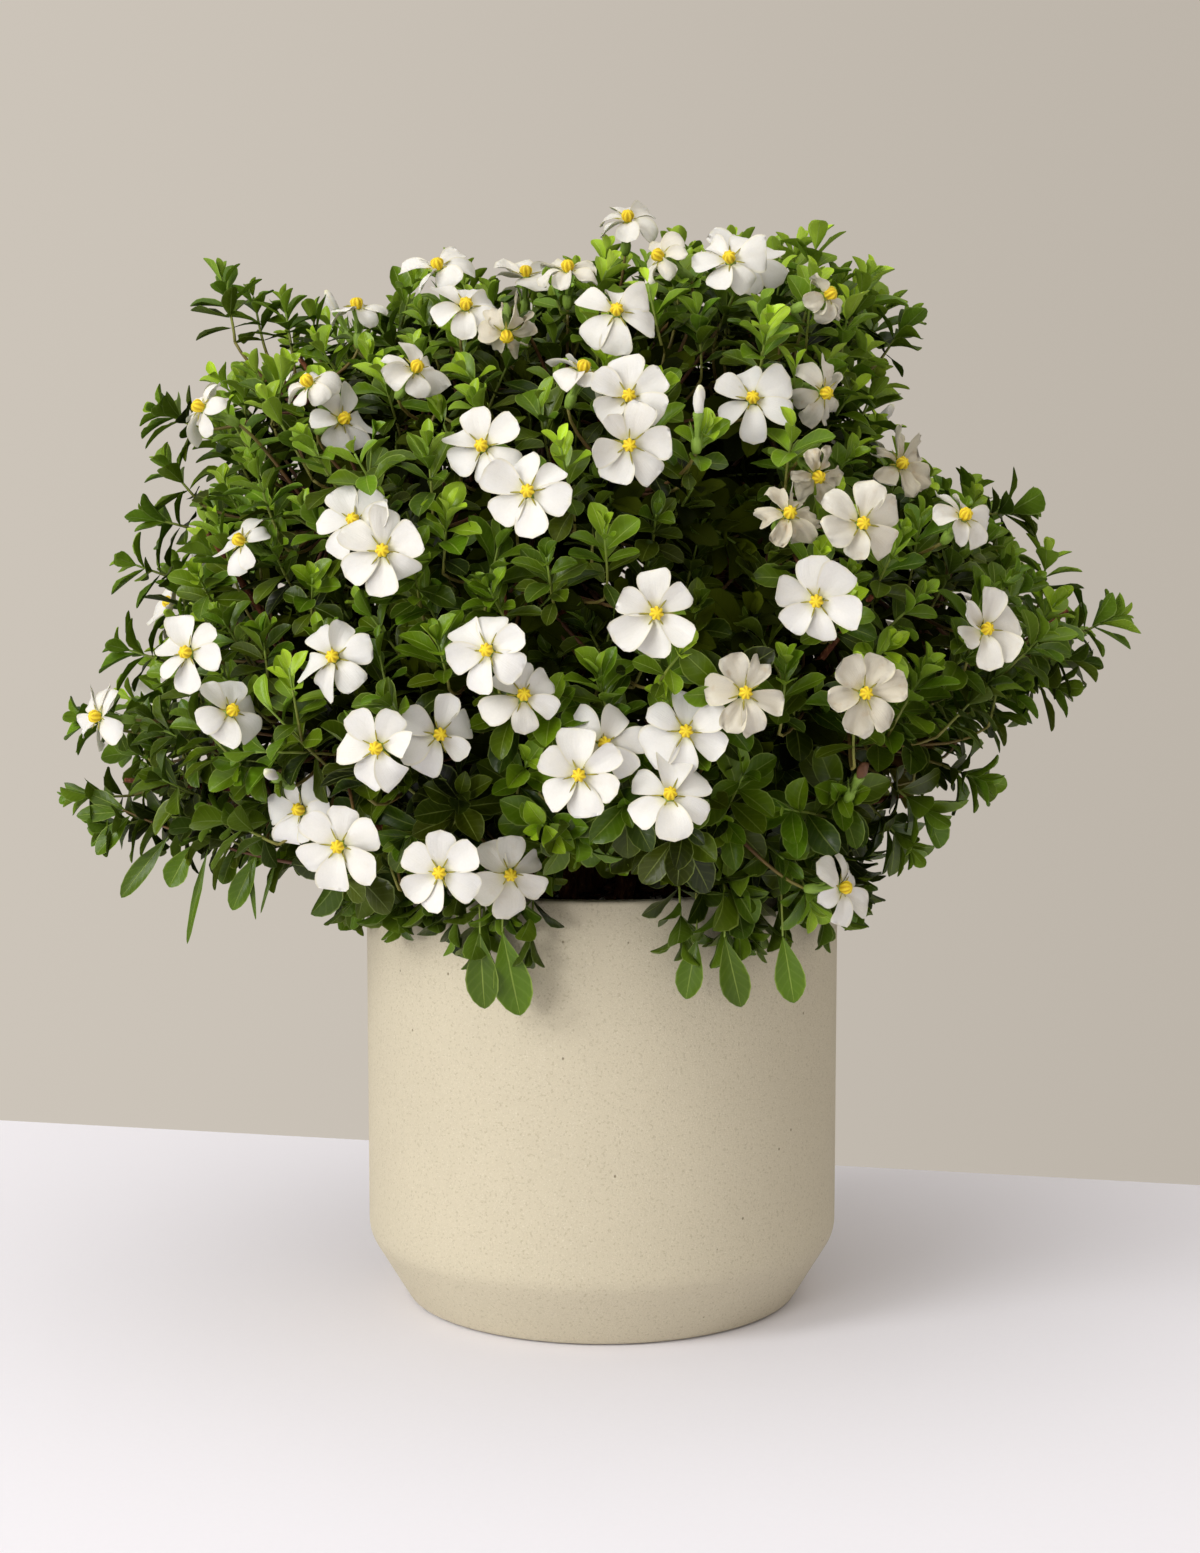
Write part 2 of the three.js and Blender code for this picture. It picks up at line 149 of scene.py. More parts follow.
# Single sprigs that stand out of the crown or hang from it: foot, tip, leaf size, youth and droop
SPRIGS = (
    ((-222, -60, 604), (-229, -60, 643), 0.76, 0.5, 0.0),
    ((-187, -60, 594), (-192, -58, 626), 0.72, 0.5, 0.0),
    ((-204, -52, 598), (-212, -48, 632), 0.7, 0.4, 0.0),
    ((-170, -50, 590), (-176, -48, 620), 0.74, 0.55, 0.0),
    ((-240, -62, 552), (-266, -66, 562), 0.82, 0.35, 0.0),
    ((-244, -56, 506), (-264, -60, 530), 0.76, 0.5, 0.0),
    ((-246, -60, 490), (-274, -64, 498), 0.76, 0.35, 0.1),
    ((-258, -60, 460), (-288, -62, 471), 0.76, 0.4, 0.1),
    ((-264, -64, 410), (-292, -66, 419), 0.8, 0.4, 0.0),
    ((-288, -66, 368), (-316, -70, 376), 0.8, 0.4, 0.2),
    ((-286, -74, 330), (-316, -78, 330), 0.86, 0.35, 0.3),
    ((-270, -80, 318), (-300, -86, 312), 0.9, 0.25, 0.4),
    ((126, -60, 628), (129, -60, 664), 0.84, 0.85, 0.0),
    ((147, -60, 606), (160, -60, 642), 0.84, 0.85, 0.0),
    ((168, -50, 592), (186, -48, 618), 0.74, 0.5, 0.0),
    ((284, -60, 426), (313, -60, 438), 0.82, 0.6, 0.0),
    ((268, -60, 448), (271, -60, 474), 0.8, 0.8, 0.0),
    ((232, -60, 500), (254, -60, 502), 0.9, 0.1, 0.0),
    ((262, -60, 414), (292, -60, 411), 0.86, 0.05, 0.1),
    ((254, -62, 398), (280, -62, 395), 0.86, 0.05, 0.2),
    ((232, -96, 374), (238, -104, 412), 1.0, 0.75, 0.0),
    ((208, -70, 348), (229, -74, 340), 0.95, 0.3, 0.4),
    ((112, -140, 302), (122, -156, 274), 0.8, 0.7, 0.6),
    ((168, -96, 344), (196, -104, 322), 1.0, 0.3, 0.5),
    ((158, -92, 330), (184, -100, 302), 0.94, 0.2, 0.6),
)
SPRIG_SCALE = 1.04
SPRIG_YOUTH = 0.12
# Single leaves that hang before the planter, and those on the long twig at the lower left: foot,
# tip, and width for their length
HANGING_LEAVES = (
    ((-71, -167, 260), (-69, -171, 215), 0.45), ((-58, -167, 261), (-48, -172, 211), 0.45),
    ((55, -166, 257), (48, -170, 221), 0.45), ((71, -167, 258), (81, -171, 216), 0.42),
    ((105, -164, 258), (112, -168, 218), 0.45),
    ((-285, -93, 320), (-307, -98, 297), 0.42), ((-262, -93, 307), (-293, -100, 271), 0.26),
    ((-248, -94, 302), (-263, -99, 277), 0.5), ((-238, -94, 301), (-254, -100, 241), 0.09),
    ((-222, -95, 299), (-230, -100, 279), 0.6), ((-208, -97, 297), (-225, -102, 263), 0.36),
    ((-213, -97, 297), (-210, -104, 257), 0.08), ((-196, -98, 295), (-207, -106, 262), 0.07),
    ((-200, -98, 296), (-216, -94, 290), 0.5), ((-288, -92, 322), (-318, -96, 321), 0.36),
    ((-288, -92, 323), (-312, -90, 334), 0.4),
)
HANGING_YOUTH = (0.2, 0.32, 0.26)
HANGING_STALK = (0.0, 6.0, 30.0)
TRAILING_TWIG = ((-150, -104, 290), (-290, -92, 323))
TRAILING_WAYS = ((-1.0, 0.05, 0.05), (-1.0, 0.0, 0.45))

# ---- blooms ---------------------------------------------------------------------------------
PETALS = 6
PETAL_STEP = 60.0
BLOOM_RADIUS = 25.0
STIGMA_LENGTH = 9.0
STIGMA_GIRTH = 1.28
STIGMA_RIBS = 7
# Sides round a stigma, a flower tube with its calyx, and a bud
STIGMA_SIDES, CALYX_SIDES, BUD_SIDES = 42, 18, 30
TUBE_LENGTH = 22.0
THROAT_RADIUS = 2.6
PETAL_THICKNESS = 0.45
PETAL_WIDEST = 0.7
PETAL_STATIONS = tuple(np.linspace(0.0, 1.0, 12))
PETAL_COLUMNS = (-1.0, -0.86, -0.6, -0.3, 0.0, 0.3, 0.6, 0.86, 1.0)
NARROW_STATIONS = (0.0, 0.2, 0.5, 0.8, 1.0)
# The 28 named blooms, bloom_01 onwards: where each faces (turn from the viewer, tilt up), its size,
# the roll of its petals, how far their tips bend forward (+) or back (-), and its age from 0 to 1
NAMED_BLOOMS = (
    (-20, 60, 0.92, 12, -30, 0.15), (5, 55, 0.92, 30, -34, 0.2), (15, 35, 1.0, 24, -16, 0.05),
    (0, 25, 1.0, 30, -38, 0.1), (5, -5, 1.0, 8, -6, 0.05), (0, 22, 1.0, 34, -34, 0.0),
    (15, 5, 1.0, 20, -14, 0.55), (-8, 0, 0.98, 40, -2, 0.0), (5, 5, 1.02, 31, -8, 0.1),
    (-8, 12, 1.0, 36, -18, 0.0), (-60, 22, 0.92, 10, -40, 0.1), (44, 16, 0.9, 0, -30, 0.0),
    (-5, 12, 1.0, 28, -12, 0.1), (-28, 12, 0.96, 44, -10, 0.0), (-10, 18, 1.0, 14, -24, 0.05),
    (-18, 10, 1.0, 26, -14, 0.0), (-18, -4, 1.0, 6, -4, 0.0), (-14, 0, 1.04, 20, -8, 0.05),
    (-6, 6, 1.0, 30, -12, 0.0), (-6, 4, 1.02, 33, -10, 0.05), (6, 34, 1.04, 30, -30, 0.0),
    (10, 10, 1.0, 50, -10, 0.75), (14, 6, 0.98, 10, 14, 0.8), (24, 8, 1.0, 22, 4, 0.25),
    (58, 6, 0.92, 18, -24, 0.2), (30, 38, 0.8, 0, -20, 0.3), (-50, 8, 0.86, 30, -22, 0.1),
    (34, -10, 0.9, 12, -36, 0.6),
)
# More blooms on the viewer's side: across, height, turn, tilt, size, roll, tip bend and age
MORE_BLOOMS = (
    (-78, 618, 12, 36, 0.9, 20, -24, 0.1), (-54, 606, 4, -44, 0.84, 0, -62, 0.9),
    (74, 646, -14, 34, 0.95, 14, -20, 0.05), (14, 567, 4, 12, 0.96, 30, -14, 0.0),
    (-12, 580, 40, 58, 0.86, 8, -50, 0.1), (172, 530, 30, 16, 0.92, 32, -26, 0.95),
    (-64, 540, -16, 14, 0.94, 40, -16, 0.0), (-145, 620, -8, 80, 0.8, 0, -30, 0.15),
    (-106, 582, 38, 40, 0.86, 22, -32, 0.2), (-134, 499, -20, 24, 0.96, 4, -14, 0.0),
    (-203, 486, -50, 26, 0.8, 26, -34, 0.05), (-211, 392, 40, 18, 0.86, 12, -26, 0.05),
    (-43, 406, 8, 22, 0.92, 30, -24, 0.15), (-90, 384, 16, 8, 0.98, 16, -16, 0.0),
    (-172, 332, -34, 16, 0.96, 0, -20, 0.0), (-53, 300, 10, -4, 0.98, 24, -14, 0.3),
    (0, 380, 12, 12, 1.0, 10, -12, 0.05), (45, 387, 2, 8, 1.0, 30, -12, 0.0),
    (101, 503, 16, 20, 0.8, 0, -44, 1.0), (-20, 640, 0, 64, 0.76, 14, -30, 0.5),
    (-164, 574, -38, 46, 0.74, 26, -44, 0.2), (118, 526, 20, -20, 0.7, 0, -40, 1.0),
    (36, 648, -60, 30, 0.72, 20, -40, 0.5), (126, 626, 60, 20, 0.72, 10, -40, 0.8),
)
# Blooms round the sides and back: random places tried, their spacing, and their distance from the
# blooms on the viewer's side
BACK_BLOOM_TRIES = 4000
BACK_BLOOM_SEED = 5
BACK_BLOOM_SPACING = 66.0
BLOOM_CLEARANCE = 62.0
# Leaves and twigs keep clear of a bloom: the depth its petals take up along its axis, and the shares
# of its radius that stay free within that depth, over it, and on the viewer's line of sight
PETAL_DEPTH = (-3.0, 7.0)
FREE_WITHIN, FREE_OVER, FREE_SIGHT = 0.94, 0.62, 0.58
# Closed buds on the viewer's side: across, height, turn, tilt, length and how red they are
FRONT_BUDS = (
    (52, 557, 6, 70, 17.0, 0.0), (147, 352, 20, 44, 13.0, 1.0), (-183, 356, -20, 20, 14.0, 0.0),
)
# Buds at the back: turn and tilt of their place, as seen from the crown's middle
BACK_BUDS = ((104, 30), (158, 52), (205, 24), (262, 46), (128, 8))
BACK_BUD_LENGTH = 16.0
# A bud's size, roll, bend and age
BUD_LOOKS = (1.0, 0.0, 0.0, 0.0)

# ---- camera, floor and light, in metres and watts -------------------------------------------
CAMERA_PLACE = (-0.0013, -1.7886, 0.5352)
CAMERA_AIM = (-0.0013, 0.0, 0.333)
# The sensor in millimetres, and the photograph's height and focal length in its own pixels
SENSOR_WIDTH = 36.0
IMAGE_HEIGHT = 1553
FOCAL_LENGTH = 2828
FLOOR_CORNERS = ((-2.4, -2.6), (2.4, -2.6), (2.4, -0.176), (-2.4, 0.886))
FLOOR_HEIGHT = -0.0004
LIGHT_TARGET = (0, 0, 0.35)
LIGHT_COLOUR = (1.0, 0.995, 0.98)
# Each soft light: turn from the viewer, rise, distance, size and power
LIGHTS = {
    "key light": (-54, 28, 6.0, 2.4, 152.0),
    "front light": (-36, 8, 6.0, 2.2, 112.0),
    "top light": (-10, 74, 5.2, 7.5, 136.0),
}


# ---- small helpers --------------------------------------------------------------------------

def shade(code):
    """The linear colour of a printed colour code such as #d9ccb0."""
    channels = [int(code[i:i + 2], 16) / 255 for i in (1, 3, 5)]
    return (*(c / 12.92 if c <= 0.04045 else ((c + 0.055) / 1.055) ** 2.4 for c in channels), 1.0)


def unit(vectors):
    """The same directions, each of length one."""
    vectors = np.asarray(vectors, float)
    return vectors / np.maximum(np.linalg.norm(vectors, axis=-1, keepdims=True), 1e-9)


def square_to(way, vectors):
    """The vectors turned square to a way, each of length one."""
    return unit(vectors - np.sum(vectors * way, axis=1, keepdims=True) * way)


def facing(turn, tilt):
    """The direction that is turned from the viewer to the right, and tilted up."""
    t, r = np.radians(turn), np.radians(tilt)
    return np.stack([np.sin(t) * np.cos(r), -np.cos(t) * np.cos(r), np.sin(r)], axis=-1)


def ripple(points, length, seed, waves=6):
    """A smooth random swell from about -1 to 1, whose crests lie about length apart."""
    rng = np.random.default_rng(seed)
    total = 0.0
    for _ in range(waves):
        way = unit(rng.normal(size=3)) * 2 * math.pi / (length * rng.uniform(0.7, 1.4))
        total = total + np.sin(points @ way + rng.uniform(0, 2 * math.pi))
    return total / waves ** 0.5 / 1.2


def blend(a, b, amount):
    """A mix of a and b, with amount from 0 to 1."""
    return a + (b - a) * amount


def ease(value, low, high):
    """Rises smoothly from 0 at low to 1 at high."""
    t = np.clip((value - low) / (high - low), 0.0, 1.0)
    return t * t * (3 - 2 * t)


def nearest(points, places):
    """For each point, the number of the place that lies nearest to it."""
    return np.argmin(np.linalg.norm(points[:, None] - places[None], axis=2), axis=1)


def along_line(points, place, way):
    """How far points lie ahead of a place along a way, and how far off that line."""
    offset = points - place
    ahead = offset @ way
    return ahead, np.linalg.norm(offset - ahead[..., None] * way, axis=-1)


def thin_out(points, spacing):
    """The numbers of points that are kept so that none is nearer to another than spacing."""
    kept = []
    for i, point in enumerate(points):
        if not kept or np.min(np.sum((points[kept] - point) ** 2, axis=1)) > spacing ** 2:
            kept.append(i)
    return np.array(kept)


def nodes_named(start):
    """The CAD nodes whose names begin so."""
    return [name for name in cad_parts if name.startswith(start)]


def node_points(name):
    """The points of a CAD node."""
    return np.array([v.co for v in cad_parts[name].data.vertices]) / MM


def link_object(name, data):
    """A new object in the scene, from its mesh, camera or light."""
    thing = bpy.data.objects.new(name, data)
    bpy.context.collection.objects.link(thing)
    return thing


# ---- mesh patterns --------------------------------------------------------------------------

class Pattern:
    """The faces that every copy of a small shape shares. grid is the place of each point on the
    surface, rim marks points on a sharp rim, and faces of side 1 take the piece's second finish."""

    def __init__(self, faces, sides, grid, rim):
        self.corners = np.concatenate([np.asarray(face) for face in faces])
        self.sizes = np.array([len(face) for face in faces])
        self.sides = np.array(sides)
        self.grid = np.array(grid, float)
        self.rim = np.array(rim, bool)


class Blade(Pattern):
    """A closed thin blade: an upper face and an underside that meet along the rim. along, across
    and under hold each point's station, its column, and 1 if it lies on the underside."""

    def __init__(self, stations, columns, two_faced=True):
        rows, width = len(stations) - 2, len(columns)
        tip = 1 + rows * width
        middle, inner = stations[1:-1], columns[1:-1]
        above, below = np.repeat(middle, width), np.repeat(middle, width - 2)
        self.along = np.array([stations[0], *above, stations[-1], *below])
        self.across = np.array([0.0, *columns * rows, 0.0, *inner * rows])
        self.under = np.array([0.0] * (tip + 1) + [1.0] * len(below))

        def place(side, row, column):
            """A point's number: the underside shares its rim with the upper face."""
            if side == 0 or column in (0, width - 1):
                return 1 + row * width + column
            return tip + 1 + row * (width - 2) + column - 1

        faces, sides = [], []
        for side in (0, 1):
            made = []
            for column in range(width - 1):
                made.append((0, place(side, 0, column), place(side, 0, column + 1)))
                made.append((place(side, rows - 1, column), tip, place(side, rows - 1, column + 1)))
                for row in range(rows - 1):
                    made.append((place(side, row, column), place(side, row + 1, column),
                                 place(side, row + 1, column + 1), place(side, row, column + 1)))
            faces += [face[::-1] for face in made] if side else made
            sides += [side if two_faced else 0] * len(made)
        numbers = np.arange(len(self.along))
        rim = (np.abs(self.across) == 1.0) | (numbers == 0) | (numbers == tip)
        super().__init__(faces, sides, np.stack([(self.across + 1) / 2, self.along], axis=1), rim)


class Copies:
    """Copies of one pattern: points is (copies, points, 3), and tone holds what varies from copy
    to copy, or from point to point, as up to three numbers from 0 to 1."""

    def __init__(self, pattern, points, tone=(0.0, 0.0, 0.0), finish=0):
        self.pattern, self.points, self.finish = pattern, points, finish
        tone = np.asarray(tone, float)
        if tone.ndim == 2:
            tone = tone[:, None, :]
        self.tone = np.broadcast_to(tone, (*points.shape[:2], 3))


def tube_pattern(rings, sides):
    """A closed tube of that many rings, with flat ends."""
    faces = [tuple(reversed(range(sides)))]
    for ring in range(rings - 1):
        for side in range(sides):
            after = (side + 1) % sides
            first, second = ring * sides, (ring + 1) * sides
            faces.append((first + side, first + after, second + after, second + side))
    faces.append(tuple((rings - 1) * sides + side for side in range(sides)))
    grid = [(side / sides, ring / (rings - 1)) for ring in range(rings) for side in range(sides)]
    return Pattern(faces, [0] * len(faces), grid, [False] * len(grid))


def tube_points(paths, radii, sides):
    """The points of tubes along paths (copies, rings, 3), with radii (copies, rings)."""
    ahead = unit(np.gradient(paths, axis=1))
    whole = unit(paths[:, -1] - paths[:, 0])
    least = np.argmin(np.abs(whole), axis=1)
    across = unit(np.cross(ahead, np.eye(3)[least][:, None, :]))
    third = np.cross(ahead, across)
    angles = np.arange(sides) / sides * 2 * math.pi
    ring = (across[:, :, None, :] * np.cos(angles)[None, None, :, None]
            + third[:, :, None, :] * np.sin(angles)[None, None, :, None])
    points = paths[:, :, None, :] + ring * radii[:, :, None, None]
    return points.reshape(len(paths), -1, 3)


def turned_profile(profile, sides, wobble=None):
    """A closed solid of revolution round its own +Z: profile is (radius, height) from one end on
    the axis to the other, and wobble(angle, height) scales the radius."""
    rings = profile[1:-1]
    angles = np.arange(sides) / sides * 2 * math.pi
    points = [(0.0, 0.0, profile[0][1])]
    for radius, height in rings:
        scale = wobble(angles, height) if wobble else np.ones(sides)
        points += list(zip(radius * scale * np.cos(angles), radius * scale * np.sin(angles),
                           np.full(sides, height)))
    points.append((0.0, 0.0, profile[-1][1]))
    last = len(points) - 1
    bottom = 1 + (len(rings) - 1) * sides
    faces = []
    for side in range(sides):
        after = (side + 1) % sides
        faces.append((0, 1 + side, 1 + after))
        for ring in range(len(rings) - 1):
            first, second = 1 + ring * sides, 1 + (ring + 1) * sides
            faces.append((first + side, second + side, second + after, first + after))
        faces.append((bottom + side, last, bottom + after))
    around = [(side / sides, ring / len(rings)) for ring in range(len(rings)) for side in range(sides)]
    grid = [(0.5, 0.0), *around, (0.5, 1.0)]
    return Pattern(faces, [0] * len(faces), grid, [False] * len(grid)), np.array(points)[None]


def baking_squares(copies, number, squares):
    """A square of its own in the baking map for each copy, with the two faces side by side."""
    pattern = copies.pattern
    local = pattern.grid[pattern.corners] * 0.9 + 0.05
    half = np.repeat(pattern.sides, pattern.sizes) * 0.5
    inside = np.stack([local[:, 0] * 0.5 + half, local[:, 1]], axis=1)
    numbers = number + np.arange(len(copies.points))
    cell = np.stack([numbers % squares, numbers // squares], axis=1)
    return ((cell[:, None, :] + inside[None]) / squares).reshape(-1, 2)


def make_piece(name, copies, finishes, spread_map=False):
    """One object from a list of Copies. Its finishes are materials, and a Copies' finish is the
    number of the first one it uses. spread_map lays every copy in a square of its own for baking."""
    points, corners, sizes, slots, grids, tones, rims, places = ([] for _ in range(8))
    offset = number = 0
    squares = math.ceil(sum(len(c.points) for c in copies) ** 0.5)
    for c in copies:
        count, size = c.points.shape[:2]
        pattern = c.pattern
        points.append(c.points.reshape(-1, 3))
        corners.append((offset + np.arange(count)[:, None] * size + pattern.corners).ravel())
        sizes.append(np.tile(pattern.sizes, count))
        slots.append(np.tile(pattern.sides + c.finish, count))
        grids.append(np.tile(pattern.grid[pattern.corners], (count, 1)))
        tones.append(c.tone.reshape(-1, 3))
        rims.append(np.tile(pattern.rim, count))
        places.append(baking_squares(c, number, squares))
        offset += count * size
        number += count
    sizes, rims = np.concatenate(sizes), np.concatenate(rims)
    mesh = bpy.data.meshes.new(name)
    mesh.vertices.add(offset)
    mesh.vertices.foreach_set("co", (np.concatenate(points) * MM).ravel())
    mesh.loops.add(int(sizes.sum()))
    mesh.loops.foreach_set("vertex_index", np.concatenate(corners).astype(np.int32))
    mesh.polygons.add(len(sizes))
    mesh.polygons.foreach_set("loop_start", (np.cumsum(sizes) - sizes).astype(np.int32))
    mesh.polygons.foreach_set("material_index", np.concatenate(slots).astype(np.int32))
    mesh.update(calc_edges=True)
    mesh.shade_smooth()
    if rims.any():
        ends = np.empty(2 * len(mesh.edges), np.int32)
        mesh.edges.foreach_get("vertices", ends)
        sharp = rims[ends].reshape(-1, 2).all(axis=1)
        mesh.attributes.new("sharp_edge", "BOOLEAN", "EDGE").data.foreach_set("value", sharp)
    maps = {"surface": grids, "OFBake": places} if spread_map else {"surface": grids}
    for map_name, values in maps.items():
        laid = mesh.uv_layers.new(name=map_name)
        laid.data.foreach_set("uv", np.concatenate(values).astype(np.float32).ravel())
    tone = np.ones((offset, 4), np.float32)
    tone[:, :3] = np.concatenate(tones)
    mesh.attributes.new("tone", "FLOAT_COLOR", "POINT").data.foreach_set("color", tone.ravel())
    for finish in finishes:
        mesh.materials.append(finish)
    return link_object(name, mesh)


def settle_modifiers(piece):
    """Applies the piece's modifiers to its mesh."""
    graph = bpy.context.evaluated_depsgraph_get()
    mesh = bpy.data.meshes.new_from_object(piece.evaluated_get(graph))
    piece.modifiers.clear()
    piece.data = mesh


def belongs(piece, slot, *nodes):
    """The piece rides on the part and stands for the named CAD nodes, which are hidden; slot is not used."""
    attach(piece, "root")
    if nodes:
        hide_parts(*nodes)


# ---- node helpers ---------------------------------------------------------------------------

def add_node(tree, kind, inputs=None, **settings):
    """A new node; inputs are numbers, colours or the sockets that feed it."""
    node = tree.nodes.new(kind)
    for key, value in settings.items():
        setattr(node, key, value)
    for key, value in (inputs or {}).items():
        if isinstance(value, bpy.types.NodeSocket):
            tree.links.new(value, node.inputs[key])
        else:
            node.inputs[key].default_value = value
    return node


def calc(tree, operation, *values):
    """A Math node's result."""
    return add_node(tree, "ShaderNodeMath", dict(enumerate(values)), operation=operation).outputs[0]


def times(tree, first, *others):
    """The product of sockets and numbers."""
    for other in others:
        first = calc(tree, "MULTIPLY", first, other)
    return first


def opposite(tree, value):
    """One less the value."""
    return calc(tree, "SUBTRACT", 1.0, value)


def between(tree, value, low, high):
    """Rises smoothly from 0 where the value is low to 1 where it is high."""
    inputs = {"Value": value, "From Min": low, "From Max": high, "To Min": 0.0, "To Max": 1.0}
    node = add_node(tree, "ShaderNodeMapRange", inputs, interpolation_type="SMOOTHSTEP")
    return node.outputs["Result"]


def mixed(tree, amount, first, second):
    """Two colours mixed."""
    inputs = {0: amount, 6: first, 7: second}
    return add_node(tree, "ShaderNodeMix", inputs, data_type="RGBA", blend_type="MIX").outputs[2]


def noise(tree, place, scale, detail=3.0, roughness=0.55):
    """Cloudy noise from 0 to 1."""
    inputs = {"Vector": place, "Scale": scale, "Detail": detail, "Roughness": roughness}
    return add_node(tree, "ShaderNodeTexNoise", inputs).outputs["Fac"]


def stretched(tree, place, scale):
    """The place scaled apart along its axes."""
    return add_node(tree, "ShaderNodeMapping", {"Vector": place, "Scale": scale}).outputs[0]


def ramp(tree, value, *stops):
    """A colour ramp through (position, colour code) stops."""
    node = add_node(tree, "ShaderNodeValToRGB", {"Fac": value})
    elements = node.color_ramp.elements
    while len(elements) < len(stops):
        elements.new(0.5)
    for element, (position, code) in zip(elements, stops):
        element.position = position
        element.color = shade(code)
    return node.outputs["Color"]


def new_group(name, inputs, outputs):
    """An empty node group. inputs and outputs map a socket's name to its kind, or to its kind and
    first value."""
    tree = bpy.data.node_groups.new(name, "ShaderNodeTree")
    kinds = {"value": "NodeSocketFloat", "colour": "NodeSocketColor", "vector": "NodeSocketVector"}
    for way, sockets in (("INPUT", inputs), ("OUTPUT", outputs)):
        for socket, (kind, *first) in sockets.items():
            made = tree.interface.new_socket(socket, in_out=way, socket_type=kinds[kind])
            if first:
                made.default_value = first[0]
    return tree, tree.nodes.new("NodeGroupInput").outputs, tree.nodes.new("NodeGroupOutput").inputs


def use_group(tree, group, **inputs):
    """A node group placed in a material, with its own values."""
    node = tree.nodes.new("ShaderNodeGroup")
    node.node_tree = group
    for key, value in inputs.items():
        socket = node.inputs[key.replace("_", " ").capitalize()]
        if isinstance(value, bpy.types.NodeSocket):
            tree.links.new(value, socket)
        else:
            socket.default_value = value
    return node.outputs


def join(tree, output, place):
    """Links a node's output to an input."""
    tree.links.new(output, place)


def new_finish(name, **uniform):
    """A material with one Principled shader, whose uniform values are set on the shader itself."""
    material = bpy.data.materials.new(name)
    material.use_nodes = True
    tree = material.node_tree
    shader = tree.nodes["Principled BSDF"]
    for key, value in uniform.items():
        shader.inputs[key.replace("_", " ")].default_value = value
    place = add_node(tree, "ShaderNodeTexCoord").outputs["Object"]
    return material, tree, shader.inputs, place


def coat(tree, shader, colour, grain, gloss, height, bump):
    """Feeds the shader its colour, a roughness of (least, swing with the grain) and a bump of
    (strength, depth in metres) from the height."""
    rough, swing = gloss
    strength, depth = bump
    join(tree, colour, shader["Base Color"])
    join(tree, calc(tree, "MULTIPLY_ADD", grain, swing, rough), shader["Roughness"])
    inputs = {"Height": height, "Strength": strength, "Distance": depth}
    join(tree, add_node(tree, "ShaderNodeBump", inputs).outputs[0], shader["Normal"])


def tone_of(tree):
    """What varies from copy to copy: three numbers."""
    node = add_node(tree, "ShaderNodeAttribute", attribute_name="tone")
    return add_node(tree, "ShaderNodeSeparateColor", {"Color": node.outputs["Color"]}).outputs


def surface_of(tree):
    """The place on a copy's own surface, and its parts: X across it and Y along it, from 0 to 1."""
    surface = add_node(tree, "ShaderNodeUVMap", uv_map="surface").outputs[0]
    return surface, add_node(tree, "ShaderNodeSeparateXYZ", {0: surface}).outputs


def off_midrib(tree, parts):
    """How far a point lies from the middle of a leaf or petal, up to 0.5 at its rim."""
    return calc(tree, "ABSOLUTE", calc(tree, "SUBTRACT", parts["X"], 0.5))


# ---- shared surface effects -----------------------------------------------------------------

def mottle_group():
    """Broad soft patches and a fine grain that lighten and darken a colour."""
    group, given, result = new_group(
        "mottle",
        {"Colour": ("colour",), "Place": ("vector",), "Patch size": ("value", 60.0),
         "Grain size": ("value", 600.0), "Amount": ("value", 0.2)},
        {"Colour": ("colour",), "Grain": ("value",)})
    patches = noise(group, given["Place"], given["Patch size"], 4.0)
    grain = noise(group, given["Place"], given["Grain size"], 2.0)
    both = calc(group, "ADD", times(group, patches, 0.65), times(group, grain, 0.35))
    swing = calc(group, "MULTIPLY_ADD", calc(group, "SUBTRACT", both, 0.5), given["Amount"], 0.5)
    scaled = add_node(group, "ShaderNodeVectorMath", {0: given["Colour"]}, operation="SCALE")
    join(group, times(group, swing, 2.0), scaled.inputs["Scale"])
    join(group, scaled.outputs[0], result["Colour"])
    join(group, grain, result["Grain"])
    return group


def vein_group():
    """The midrib, side veins and a pale painted highlight along the rim of a leaf, from its surface map."""
    group, given, result = new_group(
        "leaf veins", {"Vein count": ("value", 8.0)},
        {"Midrib": ("value",), "Veins": ("value",), "Painted rim highlight": ("value",)})
    _, parts = surface_of(group)
    off = off_midrib(group, parts)
    thin = calc(group, "MULTIPLY_ADD", parts["Y"], -0.022, 0.04)
    midrib = opposite(group, between(group, calc(group, "DIVIDE", off, thin), 0.45, 1.25))
    run = calc(group, "SUBTRACT", parts["Y"], times(group, off, 0.42))
    wave = calc(group, "SINE", times(group, run, given["Vein count"], 2 * math.pi))
    veins = calc(group, "POWER", calc(group, "MULTIPLY_ADD", wave, 0.5, 0.5), 7.0)
    join(group, midrib, result["Midrib"])
    join(group, veins, result["Veins"])
    # The rim mark is a painted highlight along the leaf's edge
    join(group, between(group, off, 0.445, 0.485), result["Painted rim highlight"])
    return group


